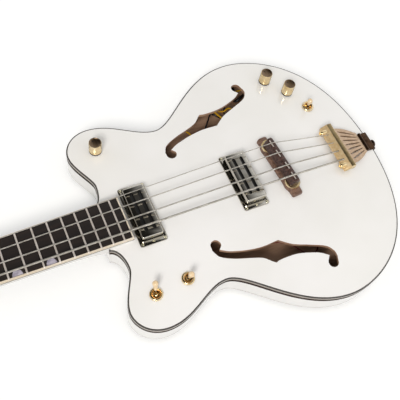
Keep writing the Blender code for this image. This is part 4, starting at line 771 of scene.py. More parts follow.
# for a switch also the lever's heading and its lean, in degrees
KNOBS = {"horn": (-230.5, 112), "front": (45.7, 146.3), "rear": (68.9, 116.8)}
SWITCHES = {
    "horn": (-230.8, -105.1, 84, 22), "waist": (-186.9, -100.6, 300, 8),
    "tail": (86.1, 82.1, 220, 12),
}
PICKUPS = {"neck": -207.5, "bridge": -61.5}
holes = [f_hole(1), f_hole(-1)]
holes += [rounded(x, 0, 29.6, 79.6, 2) for x in PICKUPS.values()]
holes += [circle(place, 5) for place in KNOBS.values()]
holes += [circle(place[:2], 6.3) for place in SWITCHES.values()]
plate_line = inset(OUTLINE, STRIP)
piece(
    "arched_top", bent_plate([plate_line] + holes, EDGE - 5, EDGE, ARCH_RISE, 5),
    [white_lacquer, bare_maple], ["top_plate"],
)
piece(
    "arched_back", bent_plate([plate_line], BACK_EDGE, BACK_EDGE + 4.5, -BACK_EDGE, 6),
    [white_lacquer, bare_maple], ["back_plate"],
)


# %% [markdown]
# ## Sides and edge strips
# The sides and the strips round the edge are long bands that follow the outline. Each band
# is the outline drawn again at every corner of its cross-section, with bridges between. A
# band takes several materials: the edge of the top goes from a dark line on top over a
# taupe strip to a brown line and then the lacquer of the side.

# %% Bridge a band round the body
def band(section, materials):
    """A closed band; the section has points of (inset from the outline, height)."""
    bm = bmesh.new()
    loops = [ring(bm, [(*p, z) for p in inset(OUTLINE, d)])[1] for d, z in section]
    for index, (edges, following) in enumerate(zip(loops, loops[1:] + loops[:1])):
        made = bmesh.ops.bridge_loops(bm, edges=edges + following)
        for face in made["faces"]:
            face.material_index = materials[index]
    return outward(bm)


DARK, TAUPE, BROWN, WHITE, BARE = range(5)
STRIPS = [dark_celluloid, taupe_celluloid, brown_strip_and_painted_shade, white_lacquer, bare_maple]
SHOULDER = EDGE - 5          # where the strips end and the sides begin
LINING = 3, 8                # the thickness of the sides, and with their linings
piece(
    "top_edge_strips",
    band(
        [(STRIP, EDGE), (1.1, EDGE), (0.45, EDGE - 0.15), (0, EDGE - 0.7), (0, EDGE - 4),
         (0, SHOULDER), (STRIP, SHOULDER)],
        [DARK, DARK, DARK, TAUPE, BROWN, BARE, BARE],
    ),
    STRIPS, ["top_binding"],
)
piece(
    "back_edge_strips",
    band(
        [(STRIP, 9.5), (0, 9.5), (0, 6.4), (0, 5.7), (0.45, 5.15), (1.1, 5), (STRIP, 5)],
        [BARE, WHITE, TAUPE, TAUPE, TAUPE, DARK, BARE],
    ),
    STRIPS, ["back_binding"],
)
thin, thick = LINING
piece(
    "sides",
    band(
        [(0, 9.5), (0, EDGE - 9.3), (0, SHOULDER), (thick, SHOULDER - 0.1),
         (thick, EDGE - 14), (thin, EDGE - 14.5), (thin, 19.3), (thick, 18.8), (thick, 9.8)],
        [WHITE, BROWN] + [BARE] * 7,
    ),
    STRIPS, ["rim_sides"],
)

# %% [markdown]
# ## The neck
# The neck tilts back by 3 parts in 100, so that strings which pass low over the frets still
# clear the bridge. Everything on it is drawn in a frame of its own, where height 0 is the
# fretboard's middle line, and one matrix lays it on the body. Its slices are half round,
# with squarer ones where the heel and the headstock begin.

# %% Shape the neck
SCALE = 864.0            # from the nut to the saddle
BOARD_HEIGHT = 62.7735   # of the fretboard's surface, carried on to the saddle
FALL = 0.03              # the board's slope along X
NECK = Matrix.Translation((0, 0, BOARD_HEIGHT)) @ Matrix.Rotation(-math.atan(FALL), 4, "Y")
HEEL_X = -325.3
BOARD_FOOT = -6.3        # the fretboard's underside lies on the neck at this height
NUT_HALF, LAST_HALF, LAST_FRET = 21, 31, -242.45


def half_width(x):
    """Half of the fretboard's width with its binding."""
    return NUT_HALF + (LAST_HALF - NUT_HALF) * (x + SCALE) / (SCALE + LAST_FRET)


def neck_slice(x, half, top, depth, square):
    """A slice that is flat on top; the squareness is 2 for an ellipse, more for a box."""
    made = [(x, half, top), (x, half, top - 1.5)]
    for i in range(1, 32):
        c, s = math.cos(math.pi * i / 32), math.sin(math.pi * i / 32)
        y = half * math.copysign(abs(c) ** (2 / square), c)
        made.append((x, y, top - 1.5 - (depth - 1.5) * s ** (2 / square)))
    return made + [(x, -half, top - 1.5), (x, -half, top)]


slices = []
for i in range(11):          # from the headstock, which is wide and square, to the nut
    t = 1 - i / 10
    width = NUT_HALF + 12 * t ** 2.4
    slices.append(neck_slice(-869.5 - 41.5 * t, width, -9.1, 13.3, 2.6 + 6.4 * t))
slices.append(neck_slice(-869, NUT_HALF, BOARD_FOOT, 15, 2.4))
for i in range(13):          # the long half-round part, from 15 to 18 mm deep
    x = -SCALE + (HEEL_X + SCALE) * i / 12
    slices.append(neck_slice(x, half_width(x), BOARD_FOOT, 15 + 3 * i / 12, 2.4))
for i in range(1, 13):       # the heel, which swells down to the back
    x = HEEL_X + 69.5 * i / 12
    swell = min(1.12 * i / 12, 1) ** 2.2
    depth = 18 + (BOARD_HEIGHT + FALL * x + BOARD_FOOT - 16 - 18) * swell
    slices.append(neck_slice(x, half_width(x), BOARD_FOOT, depth, 2.4 + 0.8 * swell))
neck = moved(through(slices), turn=NECK)
bmesh.ops.bisect_plane(
    neck, geom=neck.verts[:] + neck.edges[:] + neck.faces[:], dist=1e-4,
    plane_co=(-263.3, 0, 0), plane_no=(1, 0, 0), clear_outer=True,
)
bmesh.ops.holes_fill(neck, edges=[e for e in neck.edges if e.is_boundary], sides=0)
channel = slab([[(-883, 3.3), (-883, -3.3), (-305.3, -3.3), (-305.3, 3.3)]], -15.3, 5)
neck = carved(outward(neck), moved(channel, turn=NECK))
button_seat = moved(rod(7, 22.26, 2, 40), (-280, 0, 0))
neck = carved(neck, button_seat)
print("The neck has", len(neck.faces), "faces")

# %% [markdown]
# The headstock is a plain slab behind the nut, 13.5 mm thick, which flares to carry the
# tuners and ends in two rounded ears. The tongue carries the fretboard's last frets over
# the body. It is a ruled block whose lower side follows the top's arch.

# %% Add the headstock and the tongue
flare = flowing([(-893, 24), (-905, 31), (-917, 37), (-931, 38), (-980, 38)], 5)
side = flare + arc((-1029, 8), 30, 90, 162, 12) + [(-1057.2, 6.5), (-1054, 5), (-1050, 0)]
head_outline = side + [(x, -y) for x, y in reversed(side[:-1])]
POSTS = {"g": (-931, 24.5), "d": (-997, 25.5), "a": (-997, -25.5), "e": (-931, -24.5)}
post_holes = [circle(place, 5.4) for place in POSTS.values()]
head = slab([head_outline] + post_holes, -22.5, -9, edge=0.8)
pocket = slab([rounded(-887, 0, 24, 12, 3)], -15, 5)
head = moved(carved(head, pocket), turn=NECK)

tongue_slices = []
for i in range(14):
    x = -268 + (-231 + 268) * i / 13
    across = [-29.2 + 58.4 * j / 12 for j in range(13)]
    heights = EDGE + ARCH_RISE * arch([x] * 13, across) + 0.15
    under_board = BOARD_HEIGHT - 6.4 + FALL * x
    low = [(x, y, z) for y, z in zip(across, heights)]
    tongue_slices.append(low + [(x, 29.2, under_board), (x, -29.2, under_board)])
tenon = slab([rounded(-256.3, 0, 30.6, 34, 2)], 22.4, 35.4, edge=0.5)
piece(
    "neck_heel_and_head", together(neck, head, through(tongue_slices), tenon),
    white_lacquer, ["neck"],
)

# %% [markdown]
# ## Fretboard
# The board is a slice of a cylinder with a radius of 330 mm, so chords lie easily under the
# fingers. Celluloid binds its edges, with a thin dark line along its foot. The frets are
# domed nickel silver, filed off at a slant at both ends. Half-moon markers of pearl sit at
# the bass edge in seven of the spaces between the frets.

# %% Lay the fretboard and its binding
FRETS = [-SCALE * 2 ** (-n / 12) for n in range(23)]
BOARD_ENDS = -863.6, -230.45
BOARD_RADIUS = 330


def crown(y):
    """The fall of the fretboard's surface away from its middle line."""
    return -y * y / (2 * BOARD_RADIUS)


def board_slice(x):
    """A slice of the board between its bindings."""
    half = half_width(x) - 2.1
    across = [half * (1 - 2 * i / 24) for i in range(25)]
    return [(x, y, crown(y)) for y in across] + [(x, -half, -6), (x, half, -6)]


board = through([board_slice(BOARD_ENDS[0]), board_slice(BOARD_ENDS[1] - 2.1)])
piece(
    "rosewood_fretboard", moved(board, turn=NECK), board_rosewood,
    ["fretboard"],
)


def edge_slice(x, side):
    """A slice of one side's binding, with its outer corner rounded by wear."""
    half = half_width(x)
    inner = half - 1.8
    places = [(inner, -6), (half, -6), (half, -4.9), (half, crown(half) - 0.5)]
    places += [(half - 0.1, crown(half) - 0.2), (half - 0.45, crown(half)), (inner, crown(inner))]
    return [(x, side * y, z) for y, z in places]


def end_slice(y):
    """A slice of the binding across the board's body end."""
    end, top = BOARD_ENDS[1], crown(y)
    places = [(end - 1.8, -6), (end, -6), (end, -4.9), (end, top - 0.3)]
    return [(x, y, z) for x, z in places + [(end - 0.3, top), (end - 1.8, top)]]


strips = [through([edge_slice(x, side) for x in BOARD_ENDS]) for side in (1, -1)]
inner = half_width(-231) - 1.8
strips.append(through([end_slice(inner * (1 - i / 8)) for i in range(17)]))
edging = painted(together(*strips), lambda middle, normal: middle.z < -5.2)
piece(
    "fretboard_edge", moved(edging, turn=NECK), [pale_celluloid, brown_strip_and_painted_shade],
    ["fretboard_binding"],
)

# %% [markdown]
# Frets are pressed into sawn slots and then filed: a dome across, following the crown along,
# with ends that slope down to the binding. A marker is a flat half moon, bent to the crown.


# %% Press in the frets and the markers
def fret(x, half):
    """One fret as slices across the board; its ends slope down to the binding."""
    slices = []
    stations = [-half, -half + 0.5, -half + 1.1]
    stations += [(half - 1.1) * i / 8 for i in range(-7, 8)]
    stations += [half - 1.1, half - 0.5, half]
    for y in stations:
        rise = min(1.0, 0.15 + 0.85 * (half - abs(y)) / 1.1)
        dome = [
            (x + dx, y, crown(y) + rise * dz)
            for dx, dz in [(1.15 * a, 1.1 * b) for a, b in arc((0, 0), 1, 0, 180, 9)]
        ]
        slices.append(dome + [(x - 1.15, y, crown(y) - 0.6), (x + 1.15, y, crown(y) - 0.6)])
    return through(slices)


frets = [fret(x, half_width(x) - 0.25) for x in FRETS[1:]]
piece("frets", moved(together(*frets), turn=NECK), fret_wire)

moons = []
for space in (3, 5, 7, 9, 12, 15, 17):
    middle = (FRETS[space] + FRETS[space - 1]) / 2
    foot = -half_width(middle) + 2.2
    outline = [
        (middle + 6.4 * math.cos(a), foot + 8.4 * math.sin(a) ** 1.3)
        for a in [math.pi * i / 24 for i in range(25)]
    ]
    moon = slab([outline], -0.8, 0.07)
    bmesh.ops.triangulate(moon, faces=[f for f in moon.faces if len(f.verts) > 4])
    for vert in moon.verts:
        vert.co.z += crown(vert.co.y)
    moons.append(moon)
piece("half_moon_markers", moved(together(*moons), turn=NECK), pearl)

# %% [markdown]
# The nut is a block of bone with four round-bottomed slots. The strings lie in these and
# their spacing over the whole board comes from here. A black plate behind it covers the
# truss rod's nut, held by two small screws. A screw here is a turned dome with a slot.

# %% Cut the nut and the cover plate
# name, radius, and how far across: at the nut, at the saddle and at the anchor
STRINGS = (
    ("g", 0.55, 16.4, 27.8, 21.3), ("d", 0.75, 5.5, 10.7, 7.1),
    ("a", 0.95, -5.5, -10.7, -7.1), ("e", 1.3, -16.4, -27.8, -21.3),
)
top_line = [(-20.9, crown(20.9) + 2.3), (-20.3, crown(20.3) + 2.9)]
for _, radius, y, _, _ in reversed(STRINGS):
    slot = arc((y, 2 + radius), radius + 0.1, 180, 360, 9)
    height = max(crown(y) + 2.9, slot[0][1] + 0.05)
    top_line += [(slot[0][0] - 0.02, height)] + slot + [(slot[-1][0] + 0.02, height)]
top_line += [(20.3, crown(20.3) + 2.9), (20.9, crown(20.9) + 2.3)]
nut_outline = top_line + [(20.9, -6), (-20.9, -6)]
nut = through([[(x, y, z) for y, z in nut_outline] for x in (-868.95, -864.35)])
soften(nut, 0.25, angle=60)
piece("bone_nut", moved(nut, turn=NECK), bone, ["nut"])


def screw(radius, height):
    """A domed screw head with its slot; it stands on height 0."""
    dome = [(radius * b, height * a) for a, b in arc((0, 0), 1, 0, 90, 7)]
    dome[0] = (0, height)
    groove = slab([rounded(0, 0, radius * 2.2, radius * 0.32, 0.02, 2)], height * 0.55, 3)
    return carved(turned(dome + [(radius, -0.6), (0, -0.6)], 20), groove)


half = [(-871, 7.5), (-881, 8)] + arc((-907, 0), 10, 75, 180, 16)
cover = slab([half + [(x, -y) for x, y in reversed(half[:-1])]], -8.65, -6.75, edge=0.4)
screws = [moved(screw(2.1, 0.9), (x, 0, -6.7)) for x in (-876, -911)]
piece(
    "cover_plate", moved(together((cover, 0), *((s, 1) for s in screws)), turn=NECK),
    [phenolic, nickel], ["truss_rod_cover"],
)

# %% [markdown]
# ## Strings
# Each string runs from the tailpiece over the saddle and the nut to its post, and winds
# round it most of a turn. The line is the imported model's own, with more points where it
# bends. Between the contacts a tight string is straight, so it needs no points there.

# %% Stretch the strings
BRIDGE_X, BRIDGE_Y, ASKEW = -5, 2.4, 4.5      # where the bridge stands, and its turn
TILT = math.tan(math.radians(ASKEW))


def string_line(name, radius, nut_y, saddle_y, anchor_y):
    """A string's middle line, from the tailpiece to its last turn on the post."""
    side = 1 if nut_y > 0 else -1
    saddle_x = BRIDGE_X - TILT * saddle_y
    line = [Vector((87.2, anchor_y, 56.5))]
    line.append(Vector((saddle_x, BRIDGE_Y + saddle_y, 68.6 + radius)))
    line += [NECK @ Vector((x, nut_y, 2 + radius)) for x in (-SCALE, -869)]
    post_x, post_y = POSTS[name]
    reach = 4 + radius + 0.3
    approach = math.atan2(post_y - side * reach - nut_y, -869 - post_x)
    for i in range(25):
        angle = -side * math.pi / 2 + approach - side * math.radians(224) * i / 24
        line.append(NECK @ Vector((
            post_x + reach * math.cos(angle), post_y + reach * math.sin(angle), 2 - 2 * i / 24
        )))
    return [tuple(p) for p in line]


for name, radius, *places in STRINGS:
    piece(
        f"wound_string_{name}", wire(string_line(name, radius, *places), radius, 16),
        string_wire, [f"string_{name}"],
    )

# %% [markdown]
# ## Tuners
# A tuner is a worm drive. The key turns a worm, the worm turns a wheel on the foot of the
# post, and a ratio of 20 to 1 holds the string's pull without a lock. The baseplate has two
# ears that carry the key. Post and key each ride on a body of their own, so they turn.

# %% Cut the gears
def upright(bm):
    """A form drawn flat, stood up so that its second direction points up."""
    return moved(bm, turn=about("X", 90))


TEETH, PITCH = 20, 2.83      # of the wheel, and from one turn of the thread to the next
teeth = []
for i in range(TEETH):
    for share, radius in ((0.1, 7.7), (0.35, 8.95), (0.6, 8.95), (0.85, 7.7)):
        a = math.tau * (i + share) / TEETH
        teeth.append((radius * math.cos(a), radius * math.sin(a)))
thread = []
for i in range(52):
    a, z = math.tau * i / 16, -4.6 + PITCH * i / 16
    spots = [(2.3, z - 0.95), (3.45, z - 0.4), (3.45, z + 0.4), (2.3, z + 0.95)]
    thread.append([(r * math.cos(a), r * math.sin(a), h) for r, h in spots])
print("The wheel has", TEETH, "teeth, and the worm's thread", len(thread), "slices")

# %% [markdown]
# The baseplate and its ears are one sheet of steel, bent and drilled. The post is turned,
# with a waist for the string and a slot across its top. The button is an oval of cast metal.

# %% Build the four tuners
WORM_AT, WORM_HEIGHT = 12.9, -28.7
button_line = [
    (12.9 * math.cos(a), 34.8 + 10.9 * math.sin(a) * (1 - 0.1 * math.cos(2 * a)))
    for a in [math.tau * i / 48 for i in range(48)]
]
for name, (x, y) in POSTS.items():
    side = 1 if y > 0 else -1
    worm_x = x + WORM_AT
    plate = slab([rounded(x + 4.2, y, 28.4, 26.8, 3), circle((x, y), 5.4)], -24.8, -22.8, 0.3)
    ears = []
    for way in (1, -1):
        outline = [(worm_x + 3.3, -24), (worm_x - 3.3, -24)]
        outline += arc((worm_x, WORM_HEIGHT), 3.2, 180, 360, 13)
        low, high = sorted((-y - way * 5.9, -y - way * 8.9))
        ears.append(upright(slab([outline, circle((worm_x, WORM_HEIGHT), 2.9, 18)], low, high)))
    screws = [
        moved(screw(1.8, 0.9), (x + dx, y + dy, -24.8), about("X", 180))
        for dx in (-6.8, 15.2) for dy in (-10.6, 10.6)
    ]
    collar = turned(
        [(5.45, -8.98), (8, -8.98), (8, -8.2), (7.3, -7.6), (5.45, -7.6)], 32, closed=True
    )
    piece(
        f"tuner_plate_{name}",
        moved(together(plate, *ears, *screws, moved(collar, (x, y, 0))), turn=NECK),
        nickel, [f"tuner_housing_{name}"],
    )
    shaft = turned([
        (0, 42.7), (3.6, 42.7), (4.5, 42.3), (5, 41.5), (5, 37.6), (4.6, 36.6), (4, 35.6),
        (4, 29.8), (4.6, 28.6), (5, 27.6), (5, 0.2), (0, 0.2),
    ], 32)
    shaft = carved(shaft, slab([rounded(0, 0, 16, 2.6, 0.4, 3)], 38, 46))
    piece(
        f"tuner_shaft_{name}",
        moved(
            together((shaft, 0), (slab([teeth], 0, 4), 1)),
            turn=NECK @ Matrix.Translation((x, y, -30.7)),
        ),
        [nickel, brass], [f"tuner_post_{name}"], f"tuner_post_{name}",
    )
    spindle = turned([
        (0, 27), (2.5, 27), (3.4, 24.6), (3.6, 23.4), (3.4, 22.6), (2.5, 22.2), (2.5, -9.7),
        (2.2, -9.9), (0, -9.9),
    ], 28)
    button = upright(slab([button_line], -3.1, 3.1, edge=1.5, segments=4))
    turn = NECK @ Matrix.Translation((worm_x, y, WORM_HEIGHT)) @ about("X", -90 * side)
    piece(
        f"tuner_button_{name}", moved(together(spindle, button, through(thread)), turn=turn),
        nickel, [f"tuner_key_{name}"], f"tuner_key_{name}",
    )

# %% [markdown]
# ## Pickups
# Each pickup has a flat frame, screwed to the top at its corners, and a drawn metal cover
# with two long slots. The cover hangs on a screw at each end that sets its height. Inside,
# two black bobbins stand under the slots. All edges are round, because a drawn and plated
# sheet has none sharper than its own thickness.

# %% Make the pickups
for name, frame_top, cover_top in (("neck", 47.4, 57.4), ("bridge", 49.1, 62.4)):
    x = PICKUPS[name]
    flat = slab([rounded(x, 0, 37, 87, 3), rounded(x, 0, 29.2, 74, 2.2)],
                top_at(x, 0) + 0.1, frame_top, 0.5)
    wall = slab([rounded(x, 0, 30.4, 75.2, 2.6), rounded(x, 0, 28.9, 73.7, 2)], 41, 46)
    corners = [
        moved(screw(1.9, 0.8), (x + dx, dy, frame_top), Matrix.Rotation(dx + dy, 4, "Z"))
        for dx in (-15.2, 15.2) for dy in (-40.4, 40.4)
    ]
    lifts = [moved(screw(1.6, 0.7), (x, dy, frame_top)) for dy in (-39.9, 39.9)]
    piece(
        f"{name}_pickup_surround",
        together((flat, 0), (wall, 0), *((s, 1) for s in corners + lifts)),
        [nickel, pale_gold], [f"{name}_pickup_frame"],
    )
    shell = slab([rounded(x, 0, 28.4, 73.2, 2.4, 8)], cover_top - 20, cover_top)
    soften(shell, 1.3, 4)
    cutters = [slab([rounded(x, 0, 26.8, 71.6, 1.8, 8)], cover_top - 25, cover_top - 0.9)]
    cutters += [
        slab([rounded(x + dx, 0, 4.6, 57, 2.29, 10)], cover_top - 4, cover_top + 4)
        for dx in (-5.5, 5.5)
    ]
    for cutter in cutters:
        shell = carved(shell, cutter)
    piece(f"{name}_pickup_shell", shell, nickel, [f"{name}_pickup_cover"])
    bobbins = [
        slab([rounded(x + dx, 0, 11.6, 70, 4)], cover_top - 19.5, cover_top - 2.2, 0.5)
        for dx in (-6.1, 6.1)
    ]
    piece(
        f"{name}_pickup_bobbins", together(*bobbins), phenolic,
        [f"{name}_pickup_coils"],
    )

# %% [markdown]
# ## The bridge
# The bridge isn't fastened. The strings press its wooden base onto the top. Two threaded
# posts stand in the base, a knurled thumbwheel runs on each, and the saddle rests on the
# wheels. The saddle carries a short wire under each string, set forwards or back so that
# the string plays in tune. The whole bridge stands 4.5 degrees askew for the same reason.

# %% Carve the bridge
BRIDGE = Matrix.Translation((BRIDGE_X, BRIDGE_Y, 46.8)) @ about("Z", ASKEW)
POST_PLACES = {"treble": 31, "bass": -31}


def wooden_slice(y, half, foot, low, high, crest, corner, lean=0):
    """A slice across a wooden bar: straight sides, then a slope to a rounded crest."""
    side = [(half, low), (half, foot), (crest + corner * 0.6, high - corner * 0.35),
            (crest - corner * 0.2, high)]
    right = [side[0]] + flowing(side[1:], 4)
    whole = right + [(-px, pz) for px, pz in reversed(right)]
    return [(px + lean * (pz - low) / (high - low), y, pz) for px, pz in whole]


slices = []
for i in range(49):
    y = 49 * math.sin(math.pi / 2 * (i - 24) / 24)
    reach = abs(y)
    wide = 8 + 2 * max(0.0, min(1.0, (41 - reach) / 8)) ** 1.5
    if reach > 46.4:
        wide -= 2.6 - math.sqrt(max(0.04, 6.76 - (reach - 46.4) ** 2))
    high = 5.9 + 1.6 * max(0.0, min(1.0, (46 - reach) / 12)) ** 1.2
    low = 0.05 + 1.4 * max(0.0, min(1.0, (30 - reach) / 6))
    slices.append(wooden_slice(y, wide, low + 2.2, low, high, wide - 2.2, 1.6))
base = through(slices)
threads = [(0, 15.1)]
for i in range(14):
    threads += [(2.2, 15 - i), (2.5, 14.5 - i)]
standing = [moved(turned(threads + [(0, 1)], 24), (0, y, 0)) for y in POST_PLACES.values()]
piece(
    "bridge_base_and_posts",
    moved(together((base, 0), *((p, 1) for p in standing)), turn=BRIDGE),
    [base_rosewood, gold], ["bridge_base"],
)

# %% [markdown]
# The saddle is drawn through slices like the base, and leans towards the tail, where the
# strings press it. Each rest is a short wire, set across under its string.

# %% Carve the saddle and knurl the wheels
slices = []
for i in range(41):
    y = 37 * math.sin(math.pi / 2 * (i - 20) / 20)
    wide = 7.6 if abs(y) < 33.5 else 4.1 + math.sqrt(max(0.05, 12.25 - (abs(y) - 33.5) ** 2))
    slices.append(wooden_slice(y, wide, 14.2, 11.15, 20.6, wide * 0.42, 1.0, 1.4))
saddle = through(slices)
for y in POST_PLACES.values():
    saddle = carved(saddle, moved(rod(2.9, 0, 15.4), (0, y, 0)))
rests = []
for (_, _, _, y, _), shift in zip(STRINGS, (-0.5, -0.3, 0.9, 0.2)):
    rests.append(wire([(shift, y - 5.6, 20.7), (shift, y + 5.6, 20.7)], 0.8))
piece(
    "compensated_saddle", moved(together((saddle, 0), *((r, 1) for r in rests)), turn=BRIDGE),
    [saddle_rosewood, fret_wire], ["saddle"],
)
knurl = [circle((0, 0), (10.5, 10.1)[i % 2], 96)[i] for i in range(96)]
for name, y in POST_PLACES.items():
    wheel = slab([knurl, circle((0, 0), 2.9, 18)], 7.8, 10.8)
    piece(
        f"{name}_height_wheel", moved(moved(wheel, (0, y, 0)), turn=BRIDGE), gold,
        [f"{name}_thumbwheel"], f"{name}_thumbwheel",
    )

# %% [markdown]
# ## The tailpiece
# The strings hook into a heavy bar with a sloping front. An openwork plate ties the bar to
# a hinge, whose bracket folds over the tail and is held by the strap pin. The plate's
# pattern is a plain fan of narrow slots. Each is drawn from the line down its middle and
# its half width at seven places along it.

# %% Cast the bar
section = [(78.5, 50.5), (78.5, 54.5), (87.5, 60.5), (94, 60.5), (95.5, 59), (95.5, 50.5)]
bar = upright(slab([section], -36.8, 36.8, 0.45))
for name, radius, *places in STRINGS:
    line = [Vector(p) for p in string_line(name, radius, *places)[:2]]
    way = (line[0] - line[1]).normalized()
    bar = carved(bar, wire([line[0] - way * 14, line[0] + way * 0.3], radius + 0.25, 16))
# The bar's flat top takes a darker gold as painted shade, and its front slope a paler gold as
# painted light.
painted(bar, lambda middle, normal: 1 if normal.z > 0.9 else 2 if normal.x < -0.2 else 0)
lug = [
    (0, 11.2), (1.7, 11.2), (1.7, 12.2), (2.4, 12.5), (3.5, 12.3), (4.1, 11.8), (4.3, 11.1),
    (4.3, 9.3), (3.9, 9), (3.9, 8.5), (4.3, 8.2), (4.3, 0), (0, 0),
]
lugs = [moved(turned(lug, 32), (87, y, 54), about("Y", -90)) for y in (28.5, -28.5)]
piece(
    "string_bar", together(bar, *((lug, 0) for lug in lugs)), [gold, bar_top_painted_shade_gold, slope_painted_light_gold],
    ["tailpiece_bar"],
)

# %% [markdown]
# The openwork slopes from the bar down to the hinge. The bracket is a strip of bronze folded
# over the edge of the top, and the hinge's knuckles are turned as one rod with grooves.

# %% Cut the openwork and fold the bracket
SLOT_WIDTHS = (
    (0, 0.3), (0.08, 0.9), (0.25, 1.3), (0.5, 1.2), (0.8, 0.8), (0.95, 0.5), (1, 0.25)
)
slope = math.atan(9.4 / 37.3)
sheet = Matrix.Translation((95.8, 0, 55)) @ Matrix.Rotation(slope, 4, "Y")
side = flowing([(0.76, 30), (9, 29.3), (18, 27), (26.5, 23), (33, 18.8), (37.7, 16.5)], 5)
fan = [side + [(x, -y) for x, y in reversed(side)]]
for i in range(7):
    share = (i - 3) / 3
    start, end = Vector((5.2, share * 24)), Vector((33.5, share * 14))
    line = [(*start.lerp(end, t), w) for t, w in SLOT_WIDTHS]
    fan.append([(x, y + w) for x, y, w in line] + [(x, y - w) for x, y, w in reversed(line)])
openwork = slab(fan, -3, 0, 0.5)
# The openwork's duller pinkish gold is a painted reflection of its tilt.
piece("tail_openwork", moved(openwork, turn=sheet), openwork_painted_reflection_gold, ["tailpiece_frame"])

BRACKET_HALF = 14.6
fold = [(136, 41.45), (136, 43.3), (148.2, 43.3), (149, 43), (149.3, 42.2), (149.3, 14),
        (147.3, 14), (147.3, 41.45)]
bracket = upright(slab([fold], -BRACKET_HALF, BRACKET_HALF, 0.3))
bracket = carved(bracket, moved(rod(2.5, 0, 9), (143, 0, 29), about("Y", 90)))
knuckles = [(0, -BRACKET_HALF), (2.3, -BRACKET_HALF), (2.6, 0.3 - BRACKET_HALF)]
for y in (-8.7, -2.9, 2.9, 8.7):
    knuckles += [(2.6, y - 0.3), (2.2, y), (2.6, y + 0.3)]
knuckles += [(2.6, BRACKET_HALF - 0.3), (2.3, BRACKET_HALF), (0, BRACKET_HALF)]
hinge = moved(upright(turned(knuckles, 28)), (136, 0, 43.9))
piece(
    "tail_bracket", together(bracket, hinge), dark_bronze, ["tailpiece_bracket"]
)
print("The fan has", len(fan) - 1, "slots")

# %% [markdown]
# ## Knobs
# A knob is turned from a bar, hollow below where it slips over the shaft of its pot. Forty
# flutes round its side give the fingers a grip. They are made by moving every other column
# of the turned side inwards by a quarter of a millimetre. A short line shows the setting.
# A brown band round the foot is painted shade, for the gap under the knob.

# %% Turn the knobs
KNOB_RADIUS, COLUMNS = 8.5, 80


def knob():
    """A fluted knob that stands on height 0."""
    bm = turned([
        (0, 17.9), (5.8, 18), (6.8, 18.3), (7.5, 18.9), (8.1, 18.9), (8.45, 18.4),
        (KNOB_RADIUS, 17.8), (KNOB_RADIUS, 2.4), (KNOB_RADIUS, 1.9), (8.1, 1.6), (8.1, 1.2),
        (KNOB_RADIUS, 0.9), (KNOB_RADIUS, 0), (6.4, 0), (6.4, 4.5), (3.3, 4.5), (3.3, 15.3),
        (0, 15.3),
    ], COLUMNS)
    for vert in bm.verts:
        column = round(math.atan2(vert.co.y, vert.co.x) / math.tau * COLUMNS)
        if column % 2 and vert.co.xy.length > KNOB_RADIUS - 0.01 and 2 < vert.co.z < 18:
            vert.co.xy *= 8.22 / KNOB_RADIUS
    # The top and its rim take the darker brushed gold; on the rim that dark is a painted
    # reflection.
    return painted(bm, lambda middle, normal: (
        1 if middle.z > 17.5 and middle.xy.length < 8 else 2 if middle.z < 1.7 else 0
    ))


LIFTS = {"horn": 43.7, "front": 44.5, "rear": 45.3}      # the height of each knob's foot
for name, (x, y) in KNOBS.items():
    line = slab([rounded(4.6, 0, 3.8, 0.8, 0.35, 4)], 17.7, 18.12)
    # The brown at each knob's foot is painted shade for the gap under it.
    piece(
        f"{name}_fluted_knob",
        moved(together(knob(), (line, 3)), (x, y, LIFTS[name]), about("Z", 120)),
        [gold, top_gold_and_painted_reflection, brown_strip_and_painted_shade, phenolic], [f"{name}_knob"],
        f"{name}_knob",
    )

# %% [markdown]
# ## Toggle switches
# A round nut clamps each switch in the top, and the switch's body hangs below. The nut is
# dished, and a darker gold in the dish round the lever is painted shade. The lever is a rod on
# a ball, with a bat of ivory-coloured plastic on its end. It leans the way that the switch was
# last pushed.

# %% Fit the toggles
RINGS = {"horn": 43.1, "waist": 43.7, "tail": 45.2}          # the height of each nut's foot
PIVOTS = {"horn": 41.58, "waist": 42.21, "tail": 43.66}     # and of its lever's pivot
for name, (x, y, heading, lean) in SWITCHES.items():
    low, pivot = RINGS[name], PIVOTS[name]
    below = min(top_at(*p) for p in circle((x, y), 9, 8)) - 5.35
    nut = turned([
        (0, pivot - 3.4), (4.6, pivot - 3.4), (4.6, low + 1.5), (4.75, low + 1.9),
        (5.9, low + 2.5), (6.4, low + 2.95), (7.3, low + 3), (8.1, low + 2.6),
        (8.5, low + 1.9), (8.6, low + 1.2), (8.6, low), (6, low), (6, below), (9, below),
        (9, below - 14), (0, below - 14),
    ], 56)
    dish = max(pivot - 3, low)
    # The faces in the dish take the darker gold as painted shade.
    painted(nut, lambda middle, normal: middle.xy.length < 6.1 and middle.z > dish)
    piece(
        f"{name}_toggle_nut", moved(nut, (x, y, 0)), [gold, dish_painted_shade_gold],
        [f"{name}_switch"],
    )
    ball = arc((0, 0), 3, 60, -90, 12)
    bat = turned([
        (0, 24), (1.5, 23.85), (2.6, 23.3), (3.35, 22.3), (3.75, 21), (3.75, 20), (3.5, 18.4),
        (3.05, 16), (2.65, 13.4), (2.4, 11.2), (2.2, 10.2), (1.9, 9.6), (1.45, 9.45),
        (1.45, 3), *ball[:-1], (0, -3),
    ], 36)
    painted(bat, lambda middle, normal: middle.z < 9.5)
    piece(
        f"{name}_toggle_bat",
        moved(bat, (x, y, pivot), about("Z", heading) @ about("Y", lean)), [ivory, gold],
        [f"{name}_lever"], f"{name}_lever",
    )

# %% [markdown]
# ## Jack and strap buttons
# The output jack sits in the side at the widest place of the body, with a six-sided nut.
# One strap button holds the tail bracket and the other is screwed under the heel. All are
# turned; the buttons have a waist for the strap and a flare where they press on the wood.

